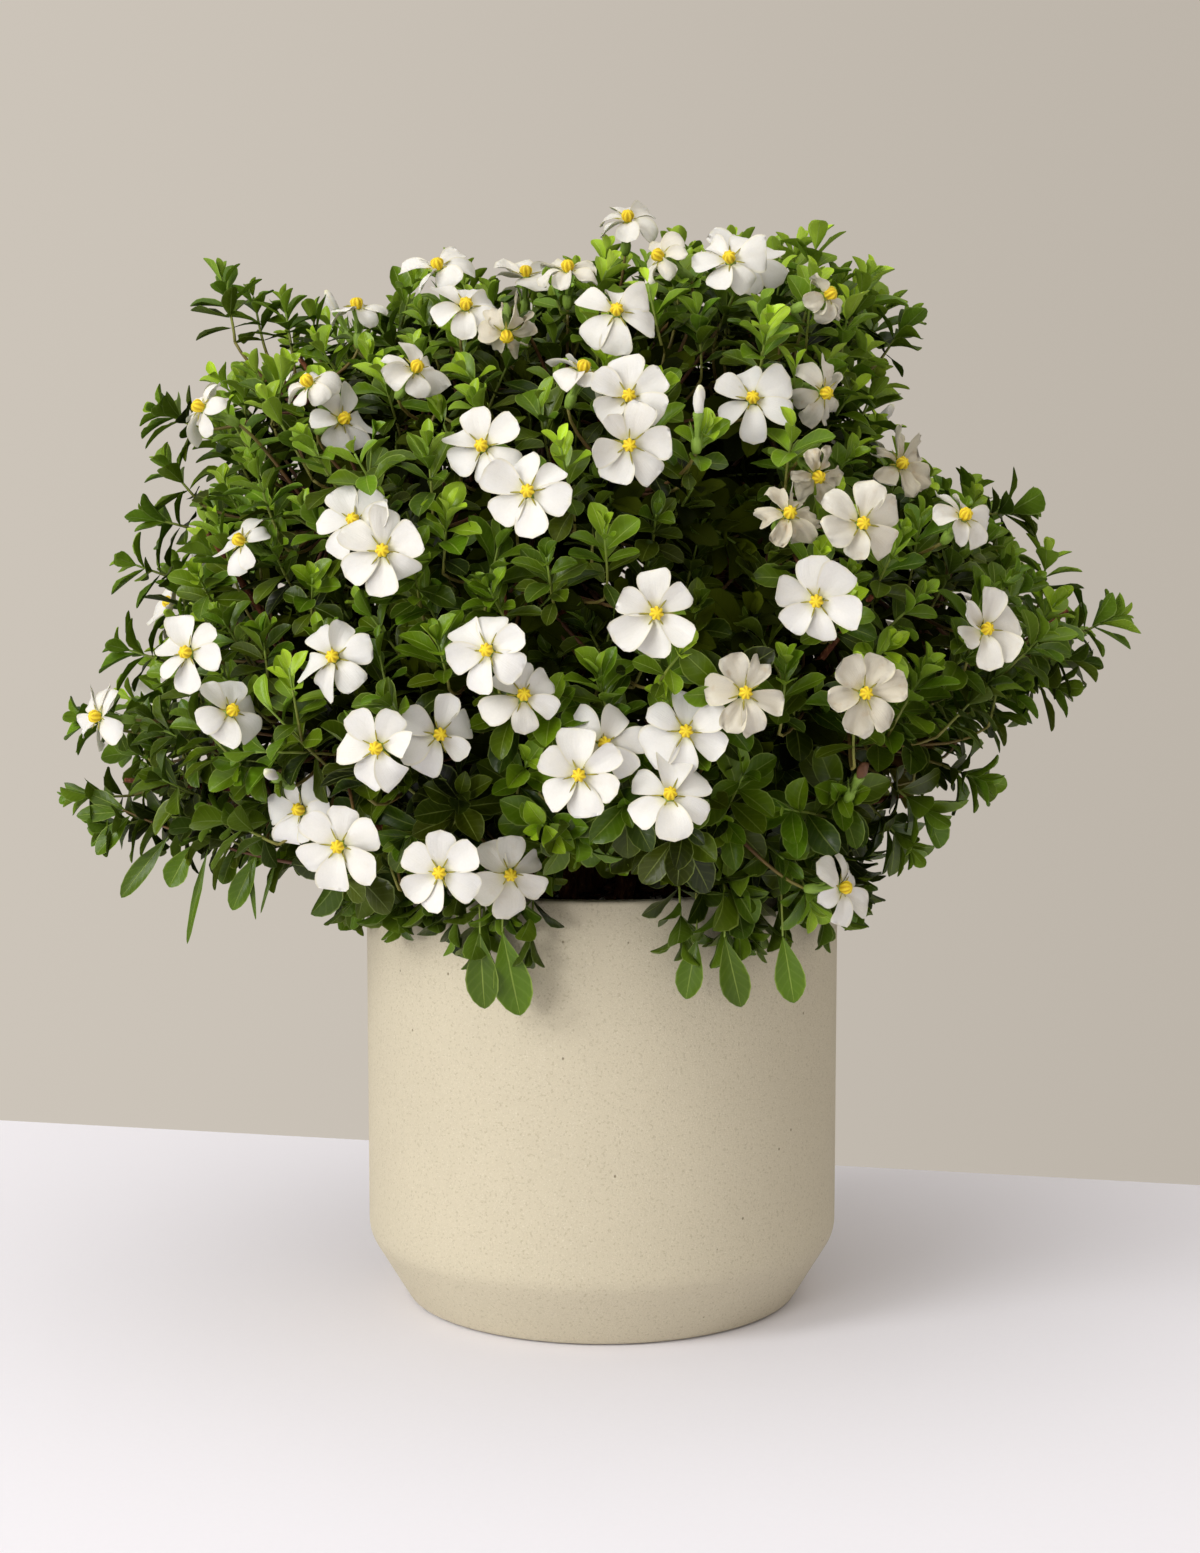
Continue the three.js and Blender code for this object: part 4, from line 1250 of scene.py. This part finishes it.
def stigma_copies(bloom):
    """The club-shaped stigma with its ribs, and the style below it."""
    profile = (
        (0.0, STIGMA_LENGTH), (1.0, 8.86), (1.9, 8.4), (2.5, 7.6), (2.8, 6.6), (2.75, 5.4), (2.5, 4.2),
        (2.15, 3.0), (1.8, 1.8), (1.6, 0.4), (0.0, 0.0),
    )
    profile = [(radius * STIGMA_GIRTH, height) for radius, height in profile]

    def rib(angles, height):
        """1 on a rib, -1 in a groove; the ribs wind a little as they rise."""
        return np.cos(STIGMA_RIBS * (angles + 0.04 * height))

    def ribbed(angles, height):
        """The ribs start above the style."""
        return 1 + 0.12 * ease(height, 1.0, 5.0) * rib(angles, height)

    pattern, points = turned_profile(profile, STIGMA_SIDES, ribbed)
    x, y, z = np.moveaxis(points, -1, 0)
    # Painted shade: the grooves between the stigma's ribs are coloured darker
    groove = np.zeros(points.shape)
    groove[..., 0] = (0.5 - 0.5 * rib(np.arctan2(y, x), z)) * 0.75 * ease(np.hypot(x, y), 0.4, 2.0)
    return Copies(pattern, bloom.put(points), groove, STIGMA)


def calyx_copies(bloom):
    """The pale flower tube and the ribbed green calyx with its six narrow lobes."""
    profile = (
        (0.0, 2.4), (2.6, 2.3), (3.2, 1.4), (2.9, -0.6), (2.2, -3.2), (1.8, -7.0), (1.7, -11.0),
        (2.6, -12.6), (3.1, -15.0), (2.9, -18.4), (2.1, -21.0), (0.0, -21.6),
    )

    def ribbed(angles, height):
        """Only the calyx has ribs, not the tube above it."""
        return 1 + 0.07 * np.cos(PETALS * angles) * (height < -11)

    pattern, points = turned_profile(profile, CALYX_SIDES, ribbed)
    t, u = NARROW_BLADE.along, NARROW_BLADE.across
    out = 2.6 + 3.4 * t ** 1.6 - 0.5 * NARROW_BLADE.under * np.sin(math.pi * t)
    side = 0.95 * u * np.sin(math.pi * (0.3 + 0.7 * t)) ** 0.7
    turns = [math.radians(number * PETAL_STEP + 18) for number in range(PETALS)]
    lobes = np.array([spun(out, side, -12.8 + 9.5 * t, turn) for turn in turns])
    return [Copies(pattern, bloom.put(points), finish=CALYX),
            Copies(NARROW_BLADE, bloom.put(lobes), (0.0, 0.5, 0.0), CALYX)]


def bud_copies(bud, length, red):
    """A closed bud: petals rolled in a slender spiral on the flower tube."""
    shares = (
        (1.0, 0.0), (0.97, 0.35), (0.9, 0.62), (0.76, 0.86), (0.58, 1.0), (0.38, 0.96), (0.2, 0.8),
        (0.08, 0.7), (0.0, 0.0),
    )
    profile = [(3.1 * wide, 1.0 + length * share) for share, wide in shares]

    def rolled(angles, height):
        """Three petal edges that wind up the bud."""
        return 1 + 0.13 * np.cos(3 * angles + 0.45 * height)

    pattern, points = turned_profile(profile, BUD_SIDES, rolled)
    tone, finish = ((0.72, 0.5, 0.5), CALYX) if red else ((0.1, 0.5, 0.5), 0)
    return [Copies(pattern, bud.put(points), tone, finish), *calyx_copies(bud)]


def make_bloom(bloom, rng):
    """A whole flower: petals, stigma, anthers, tube and calyx."""
    tone = np.zeros((PETALS, PETAL_BLADE.along.size, 3))
    tone[..., 0] = np.clip(bloom.age + rng.normal(0, 0.05, (PETALS, 1)), 0, 1)
    tone[..., 1] = rng.uniform(0, 1, (PETALS, 1))
    tone[..., 2] = PETAL_BLADE.along
    copies = [Copies(PETAL_BLADE, petal_points(bloom, rng), tone), stigma_copies(bloom),
              Copies(NARROW_BLADE, anther_points(bloom, rng), (0.0, 0.5, 0.0), ANTHER),
              *calyx_copies(bloom)]
    piece = make_piece(bloom.name, copies, BLOOM_FINISHES)
    belongs(piece, "petal", *([bloom.node] if bloom.node else []))


# ---- shoots ---------------------------------------------------------------------------------

class Bunch:
    """Arrays that belong together, with one row for each shoot or leaf."""

    names = ()

    def __init__(self, *values):
        for name, value in zip(self.names, values):
            setattr(self, name, np.asarray(value, float))

    def picked(self, which):
        """The rows that are chosen."""
        return type(self)(*(getattr(self, name)[which] for name in self.names))

    def joined(self, other):
        """These rows and then the other's."""
        pairs = ((getattr(self, name), getattr(other, name)) for name in self.names)
        return type(self)(*(np.concatenate(pair) for pair in pairs))


class Shoots(Bunch):
    """Leafy shoots, each from a foot to a tip. A look that is one number holds for all of them."""

    names = ("feet", "tips", "size", "youth", "droop", "brown", "inner")

    def __init__(self, feet, tips, *looks):
        super().__init__(feet, tips, *(np.broadcast_to(look, (len(feet),)) for look in looks))


def outer_shoots(rng):
    """The shoots that make the crown's surface, turned outward and up to the light."""
    ways = unit(rng.normal(size=(OUTER_TRIES, 3)))
    tips = crown_point(ways) - ways * rng.uniform(8, 34, (len(ways), 1))
    clear = ~over_pot(tips, *OUTER_CLEARING) & (tips[:, 2] > CROWN_FOOT)
    ways, tips = ways[clear], tips[clear]
    for across, height, radius in HOLLOWS:
        near = np.hypot(tips[:, 0] - across, tips[:, 2] - height) < radius
        deep = near & (tips[:, 1] < -60)
        tips[deep] -= ways[deep] * HOLLOW_DEPTH
    kept = thin_out(tips, SHOOT_SPACING)
    ways, tips = ways[kept], tips[kept]
    count, (x, y, z) = len(tips), tips.T
    lift = 0.15 + 0.75 * ease(z, 290, 430)
    axis = unit(0.6 * ways + lift[:, None] * (0, 0, 1) + 0.26 * rng.normal(size=(count, 3)))
    length = rng.uniform(32, 56, count)
    low = 1 - ease(z, 320, 450)
    high = ease(z, 460, 600)
    size = rng.uniform(0.88, 1.14, count) * (0.79 + 0.3 * low * (y < 0) + 0.0002 * x)
    # Youth sets the leaf colour: ripple and noise are random tone, the rise towards the top is partly new
    # growth and partly painted light, and the drop low down is painted shade
    youth = 0.68 + 0.26 * ripple(tips, 130.0, 31) + 0.14 * rng.normal(size=count) - 0.42 * low + 0.22 * high
    browning = (x > 130) & (z < 390) & (rng.uniform(size=count) < 0.14)
    brown = np.where(browning, rng.uniform(0.2, 0.6, count), 0.0)
    return Shoots(tips - axis * length[:, None], tips, size, np.clip(youth, 0.05, 1), low * 0.6, brown, 0)


def inner_shoots(rng, share, spacing, size):
    """Older shoots further in, which close the crown, with their leaves painted near black as shade."""
    ways = unit(rng.normal(size=(INNER_TRIES, 3)))
    tips = crown_point(ways, share) + rng.normal(0, 8, (len(ways), 3))
    clear = ~over_pot(tips, *INNER_CLEARING)
    ways, tips = ways[clear], tips[clear]
    kept = thin_out(tips, spacing)
    ways, tips = ways[kept], tips[kept]
    count = len(tips)
    axis = unit(0.8 * ways + (0, 0, 0.35) + 0.5 * rng.normal(size=(count, 3)))
    length = rng.uniform(40, 64, count)
    return Shoots(tips - axis * length[:, None], tips, size, rng.uniform(0.0, 0.3, count), 0.2, 0.0, 1)


def skirt_shoots(rng):
    """Low shoots that lean out over the planter's rim, all the way round but for the gap in front."""
    turns = np.arange(-180.0, 180.0, SKIRT_STEP)
    turns = turns + rng.uniform(-2.2, 2.2, len(turns))
    first, last = SKIRT_GAP
    in_gap = (turns > first) & (turns < last)
    turns = turns[~in_gap & (rng.uniform(size=len(turns)) < SKIRT_SHARE)]
    count = len(turns)
    out = facing(turns, 0 * turns)
    reach = rng.uniform(172, 184, (count, 1)) - 22 * np.abs(out[:, :1])
    tips = out * reach + rng.uniform(250, 276, (count, 1)) * (0, 0, 1)
    feet = out * SKIRT_FOOT_RADIUS + rng.uniform(298, 312, (count, 1)) * (0, 0, 1)
    youth = rng.uniform(0.1, 0.4, count)
    return Shoots(feet, tips, rng.uniform(0.85, 1.1, count), youth, 0.5, 0.0, 0)


def sprig_shoots():
    """The sprigs of the list."""
    feet, tips, size, youth, droop = (np.array(values) for values in zip(*SPRIGS))
    return Shoots(feet, tips, SPRIG_SCALE * size, youth + SPRIG_YOUTH, droop, 0.0, 0)


def all_shoots(rng, blooms, eye):
    """Every shoot of the crown whose own twig doesn't hide a bloom."""
    shoots = outer_shoots(rng).joined(sprig_shoots()).joined(skirt_shoots(rng))
    for layer in INNER_SHOOTS:
        shoots = shoots.joined(inner_shoots(rng, *layer))
    line = [blend(shoots.feet, shoots.tips, share) for share in (0.2, 0.45, 0.7, 0.95)]
    return shoots.picked(~hides_bloom(np.stack(line, axis=1), blooms, eye))


# ---- leaves ---------------------------------------------------------------------------------

FINE_LEAF = Blade(LEAF_STATIONS, LEAF_COLUMNS)
COARSE_LEAF = Blade(COARSE_STATIONS, COARSE_COLUMNS)


class Leaves(Bunch):
    """Single leaves: where each starts, the way it grows, its upper side, and its shape."""

    names = ("start", "way", "upper", "length", "width", "fold", "curl", "tone", "inner")

    def midline(self, share):
        """A point on the midrib, at that share of the leaf's length."""
        ahead, down = curled(self.length, self.curl, share)
        return self.start + ahead[:, None] * self.way - down[:, None] * self.upper


def curled(length, curl, share):
    """How far ahead and how far down a curled midrib has come, at a share of its length."""
    bend, curl = curl * share, np.maximum(curl, 1e-3)
    return length * np.sin(bend) / curl, length * (1 - np.cos(bend)) / curl


def hanging_leaves():
    """The leaves of the list, with their upper faces towards the viewer."""
    feet, tips, slender = (np.array(values, float) for values in zip(*HANGING_LEAVES))
    count = len(feet)
    length = np.linalg.norm(tips - feet, axis=1)
    way = unit(tips - feet)
    upper = square_to(way, np.tile((-0.1, -1.0, 0.35), (count, 1)))
    tone = np.stack([np.resize(HANGING_YOUTH, count), np.full(count, 0.4), np.zeros(count)], axis=1)
    return Leaves(feet, way, upper, length, length * slender, np.full(count, 0.35), np.full(count, 0.3),
                  tone, np.zeros(count))


def leaves_of(shoots, rng):
    """Leaves in pairs along each shoot, every pair crosswise to the last, some in threes."""
    ahead = unit(shoots.tips - shoots.feet)
    run = np.linalg.norm(shoots.tips - shoots.feet, axis=1)
    side = unit(np.cross(ahead, unit(rng.normal(size=ahead.shape))))
    third = np.cross(ahead, side)
    sunward = 0.3 * unit(shoots.tips - CROWN_MIDDLE)
    count, levels = len(ahead), len(SHOOT_LEAF_SIZES)
    found = []
    for level, (scale, angle) in enumerate(zip(SHOOT_LEAF_SIZES, SHOOT_LEAF_ANGLES)):
        risen = level / (levels - 1)
        start = shoots.feet + ahead * (run * blend(BARE_SHARE, 1, risen))[:, None]
        # Painted shade: leaves that start deeper in the crown get a darker tone
        in_light = 0.22 + 0.78 * ease(crown_share(start), 0.74, 0.93)
        in_three = rng.uniform(size=count) < THREES_SHARE
        spin = level * math.pi / 2 + rng.normal(0, 0.16, count)
        for turn in range(3):
            grows = in_three if turn == 2 else np.ones(count, bool)
            step = np.where(in_three, 2 * math.pi / 3, math.pi) * turn
            around = spin + step + rng.normal(0, 0.12, count)
            spread = np.radians(angle + rng.normal(0, 9, count) + 8 * shoots.droop)
            out = side * np.cos(around)[:, None] + third * np.sin(around)[:, None]
            way = ahead * np.cos(spread)[:, None] + out * np.sin(spread)[:, None]
            upper = ahead * np.sin(spread)[:, None] - out * np.cos(spread)[:, None]
            way = unit(way + np.array((0, 0, -0.45)) * shoots.droop[:, None])
            upper = square_to(way, upper + sunward + np.array((0, -0.15, 0.35)))
            length = LEAF_LENGTH * scale * shoots.size * rng.uniform(0.84, 1.16, count)
            slender = LEAF_SLENDERNESS * rng.uniform(0.84, 1.12, count) * (0.82 + 0.18 * scale)
            fold = rng.uniform(0.1, 0.45, count) + 0.06 * level
            curl = rng.uniform(0.05, 0.85, count)
            young = shoots.youth * (0.12 + 0.88 * risen ** 0.9) + rng.normal(0, 0.06, count)
            luck, brown = rng.uniform(0, 1, count), shoots.brown * rng.uniform(0.4, 1, count)
            tone = np.stack([np.clip(young, 0, 1) * in_light, luck, brown], axis=1)
            values = (start, way, upper, length, length * slender, fold, curl, tone, shoots.inner)
            found.append([value[grows] for value in values])
    return Leaves(*(np.concatenate(parts) for parts in zip(*found)))


def leaf_points(leaves, blade, rng):
    """The points of every leaf: obovate, folded along the midrib, curled and a little wavy."""
    t, u = blade.along, blade.across
    half = np.sin(math.pi * t ** 1.46) ** 0.74 * (t < 1)
    width = leaves.width[:, None] / 2 * half * u
    bend = leaves.curl[:, None] * t
    ahead, down = curled(leaves.length[:, None], leaves.curl[:, None], t)
    phase = rng.uniform(0, 2 * math.pi, (len(leaves.length), 2, 1))
    wave = 0.03 * leaves.length[:, None] * np.sin(9 * t + phase[:, 0] + 1.6 * u) * np.abs(u) * half
    lift = leaves.fold[:, None] * np.abs(width) * (0.75 + 0.25 * np.abs(u)) + wave
    lift = lift - LEAF_THICKNESS * blade.under
    side = np.cross(leaves.upper, leaves.way)
    forward = ahead + lift * np.sin(bend)
    above = lift * np.cos(bend) - down
    twist = 0.3 * np.sin(phase[:, 1]) * t
    return (leaves.start[:, None] + forward[..., None] * leaves.way[:, None]
            + (above + width * twist)[..., None] * leaves.upper[:, None] + width[..., None] * side[:, None])


def hides_bloom(samples, blooms, eye):
    """True where any sample point of a leaf or twig passes through a bloom or before its face."""
    hides = np.zeros(len(samples), bool)
    behind, before = PETAL_DEPTH
    for bloom in blooms:
        ahead, off = along_line(samples, bloom.place, bloom.way)
        through = (ahead > behind) & (ahead < before) & (off < FREE_WITHIN * bloom.reach)
        over = (ahead >= before) & (off < FREE_OVER * bloom.reach)
        hides |= (through | over).any(axis=1)
        way = unit(eye - bloom.place)
        in_sight = bloom.place[1] < -40 and bloom.way @ way > 0.15
        if in_sight:
            ahead, off = along_line(samples, bloom.place, way)
            hides |= ((ahead > -2) & (off < FREE_SIGHT * bloom.reach)).any(axis=1)
    return hides


def clear_leaves(leaves, blooms, eye):
    """Leaves that are clear of the pot and mix, and neither pass through a bloom nor hide its face."""
    samples = np.stack([leaves.midline(share) for share in (0.15, 0.45, 0.75, 1.0)], axis=1)
    clear = ~over_pot(samples, POT_RADIUS + 2.5, POT_HEIGHT + 4).any(axis=1)
    for place, radius in RIM_GAP:
        ahead, off = along_line(samples, np.array(place), unit(eye - np.array(place)))
        clear &= ~((ahead > -10) & (off < radius)).any(axis=1)
    return clear & ~hides_bloom(samples, blooms, eye)


# ---- twigs ----------------------------------------------------------------------------------

TWIG_SHAPE = tube_pattern(TWIG_RINGS, TWIG_SIDES)


def over_the_rim(points):
    """Keeps a twig above the planter's rim where it crosses it."""
    rise = POT_HEIGHT + RIM_CLEARANCE
    low = over_pot(points, POT_RADIUS + 14, rise)
    points[..., 2] = np.where(low, rise, points[..., 2])
    return points


def twig_copies(starts, ends, leaving, arriving, kind, rng):
    """Curved tapered twigs of one kind, with the ways that each one sets out and arrives."""
    first, last, woody = kind
    t = np.linspace(0, 1, TWIG_RINGS)[None, :, None]
    reach = np.linalg.norm(ends - starts, axis=1)[:, None]
    bow = starts + leaving * reach * 0.3 + rng.normal(0, 0.04, starts.shape) * reach
    near_end = ends - arriving * reach * 0.3
    paths = ((1 - t) ** 3 * starts[:, None] + 3 * t * (1 - t) ** 2 * bow[:, None]
             + 3 * t ** 2 * (1 - t) * near_end[:, None] + t ** 3 * ends[:, None])
    radii = blend(first, last, t[..., 0]) * np.ones((len(starts), 1))
    tone = np.zeros((len(starts), TWIG_RINGS * TWIG_SIDES, 3))
    tone[..., 0] = np.repeat(blend(*woody, t[0, :, 0]), TWIG_SIDES)[None]
    tone[..., 1] = rng.uniform(0, 1, (len(starts), 1))
    return Copies(TWIG_SHAPE, tube_points(over_the_rim(paths), radii, TWIG_SIDES), tone)


def hanging_twigs(rng):
    """The stalks of the leaves that hang before the planter, and the long twig at the lower left."""
    feet = np.array([foot for foot, *_ in HANGING_LEAVES if abs(foot[0]) < POT_RADIUS], float)
    down = np.tile((0.0, 0.0, -1.0), (len(feet), 1))
    stalks = twig_copies(feet + HANGING_STALK, feet, down, down, LEAF_STALK, rng)
    start, end = np.array(TRAILING_TWIG, float)[:, None]
    leaving, arriving = unit(TRAILING_WAYS)[:, None]
    return [stalks, twig_copies(start, end, leaving, arriving, LONG_TWIG, rng)]


def wood_middles():
    """Points along the middle of the stems and their arms, above the planter."""
    found = []
    for name in nodes_named("stem_"):
        points = node_points(name)
        for point in points[points[:, 2] > ARM_START]:
            ring = np.argsort(np.linalg.norm(points - point, axis=1))[:STEM_SIDES]
            found.append(points[ring].mean(axis=0))
    return np.array(found)


def twigs_for(wood, middle, shoots, blooms, rng):
    """Branches from the wood to a few forks, and on to each shoot and bloom."""
    own = unit(shoots.tips - shoots.feet)
    targets = np.concatenate([shoots.feet] + [[b.end()] for b in blooms])
    aims = np.concatenate([own] + [[b.way] for b in blooms])
    own_wood = wood[np.linalg.norm(wood - middle, axis=1) < WOOD_REACH]
    deep = crown_share(own_wood) < WOOD_SHARE
    own_wood = own_wood[deep] if deep.any() else own_wood[[np.argmin(crown_share(own_wood))]]
    forks = thin_out(targets[rng.permutation(len(targets))], FORK_SPACING)
    roots = own_wood[nearest(targets[forks], own_wood)]
    fork_places = blend(targets[forks], roots, FORK_SHARE)
    outward = unit(fork_places - roots)
    rising = unit(outward + (0, 0, 0.4))
    branches = twig_copies(roots, fork_places, rising, outward, BRANCH, rng)
    owner = nearest(targets, fork_places)
    from_fork = unit(targets - fork_places[owner])
    leaving, arriving = unit(from_fork * 1.2 + outward[owner]), unit(from_fork + aims)
    side_twigs = twig_copies(fork_places[owner], targets, leaving, arriving, SIDE_TWIG, rng)
    return [branches, side_twigs, twig_copies(shoots.feet, shoots.tips, own, own, SHOOT_TWIG, rng)]


# ---- crown assembly -------------------------------------------------------------------------

def make_crown(eye):
    """All leaves, twigs and blooms, shared out among the leafy masses they grow on."""
    rng = np.random.default_rng(CROWN_SEED)
    blooms, buds = list_blooms(eye), list_buds()
    shoots = all_shoots(rng, blooms, eye)
    hanging = hanging_leaves()
    stalked = blooms + [bud for bud, *_ in buds]
    wood = wood_middles()
    names = sorted(nodes_named("leaves_"))
    middles = np.array([np.add(*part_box(name)) / 2 / MM for name in names])
    shoot_mass, hanging_mass = nearest(shoots.tips, middles), nearest(hanging.start, middles)
    bloom_mass = nearest(np.array([bloom.place for bloom in stalked]), middles)
    for number, name in enumerate(names):
        own = shoots.picked(shoot_mass == number)
        leaves = leaves_of(own, rng)
        leaves = leaves.picked(clear_leaves(leaves, blooms, eye))
        leaves = leaves.joined(hanging.picked(hanging_mass == number))
        # Leaves inside the crown take the coarse blade and the near-black finishes of painted shade
        layers = ((leaves.picked(leaves.inner < 0.5), FINE_LEAF, 0),
                  (leaves.picked(leaves.inner > 0.5), COARSE_LEAF, PAINTED_SHADE))
        copies = [Copies(blade, leaf_points(some, blade, rng), some.tone, finish)
                  for some, blade, finish in layers if len(some.length)]
        foliage = make_piece(name.replace("leaves", "foliage"), copies, LEAF_FINISHES, spread_map=True)
        belongs(foliage, "leaf", name)
        held = [bloom for bloom, mass in zip(stalked, bloom_mass) if mass == number]
        twigs = twigs_for(wood, middles[number], own, held, rng)
        belongs(make_piece(name.replace("leaves", "twigs"), twigs, [SHOOT_GREEN]), "green_stem")
    belongs(make_piece("trailing_twigs", hanging_twigs(rng), [SHOOT_GREEN]), "green_stem")
    for bloom in blooms:
        make_bloom(bloom, rng)
    for bud, length, red in buds:
        belongs(make_piece(bud.name, bud_copies(bud, length, red), BLOOM_FINISHES), "petal")


# ---- camera, floor and light ----------------------------------------------------------------

def aim(thing, place, target):
    """Puts a camera or light at a place, looking at the target."""
    thing.location = place
    way = Vector(target) - Vector(place)
    thing.rotation_euler = way.to_track_quat("-Z", "Y").to_euler()


def make_camera():
    """The camera at the photograph's place, with its perspective."""
    data = bpy.data.cameras.new("camera")
    data.sensor_width, data.lens = SENSOR_WIDTH, SENSOR_WIDTH * FOCAL_LENGTH / IMAGE_HEIGHT
    data.clip_start, data.clip_end = 0.05, 50.0
    camera = link_object("camera", data)
    aim(camera, CAMERA_PLACE, CAMERA_AIM)
    bpy.context.scene.camera = camera


def make_floor():
    """A plain pale floor whose far edge lies behind the pot."""
    mesh = bpy.data.meshes.new("floor")
    mesh.from_pydata([(x, y, FLOOR_HEIGHT) for x, y in FLOOR_CORNERS], [], [(0, 1, 2, 3)])
    material, tree, shader, place = new_finish("pale floor", Specular_IOR_Level=0.0)
    colour, grain = mottled(tree, place, shade("#edecf4"), 1.5, 300.0, 0.03)
    join(tree, colour, shader["Base Color"])
    join(tree, calc(tree, "MULTIPLY_ADD", grain, 0.1, 0.7), shader["Roughness"])
    mesh.materials.append(material)
    link_object("floor", mesh)


def make_light(name, turn, rise, distance, size, power):
    """A round soft light that looks at the bush."""
    data = bpy.data.lights.new(name, "AREA")
    data.shape, data.size, data.energy, data.color = "DISK", size, power, LIGHT_COLOUR
    place = Vector(LIGHT_TARGET) + Vector(facing(turn, rise)) * distance
    aim(link_object(name, data), place, LIGHT_TARGET)


def make_surroundings():
    """A greige room: the backdrop the camera sees, and a dimmer light from all round."""
    world = bpy.data.worlds.new("studio")
    bpy.context.scene.world = world
    world.use_nodes = True
    tree = world.node_tree
    tree.nodes.clear()
    way = add_node(tree, "ShaderNodeTexCoord").outputs["Generated"]
    across = add_node(tree, "ShaderNodeSeparateXYZ", {0: way}).outputs["X"]
    # The backdrop runs from lighter at the left to darker at the right: painted shade on the wall
    wall = mixed(tree, between(tree, across, -0.3, 0.3), shade("#cdc5ba"), shade("#bcb4a9"))
    seen = add_node(tree, "ShaderNodeBackground", {"Color": wall, "Strength": 1.0})
    path = add_node(tree, "ShaderNodeLightPath").outputs
    strength = calc(tree, "MULTIPLY_ADD", path["Is Glossy Ray"], -0.4, 0.6)
    lit = add_node(tree, "ShaderNodeBackground", {"Color": shade("#f2eadf"), "Strength": strength})
    both = add_node(tree, "ShaderNodeMixShader", {0: path["Is Camera Ray"]})
    output = add_node(tree, "ShaderNodeOutputWorld")
    join(tree, lit.outputs[0], both.inputs[1])
    join(tree, seen.outputs[0], both.inputs[2])
    join(tree, both.outputs[0], output.inputs["Surface"])


make_camera()
make_floor()
for light_name, light in LIGHTS.items():
    make_light(light_name, *light)
make_surroundings()
bpy.context.scene.view_settings.view_transform = "Standard"

make_planter()
make_potting_mix()
make_stems()
make_crown(np.array(CAMERA_PLACE) / MM)
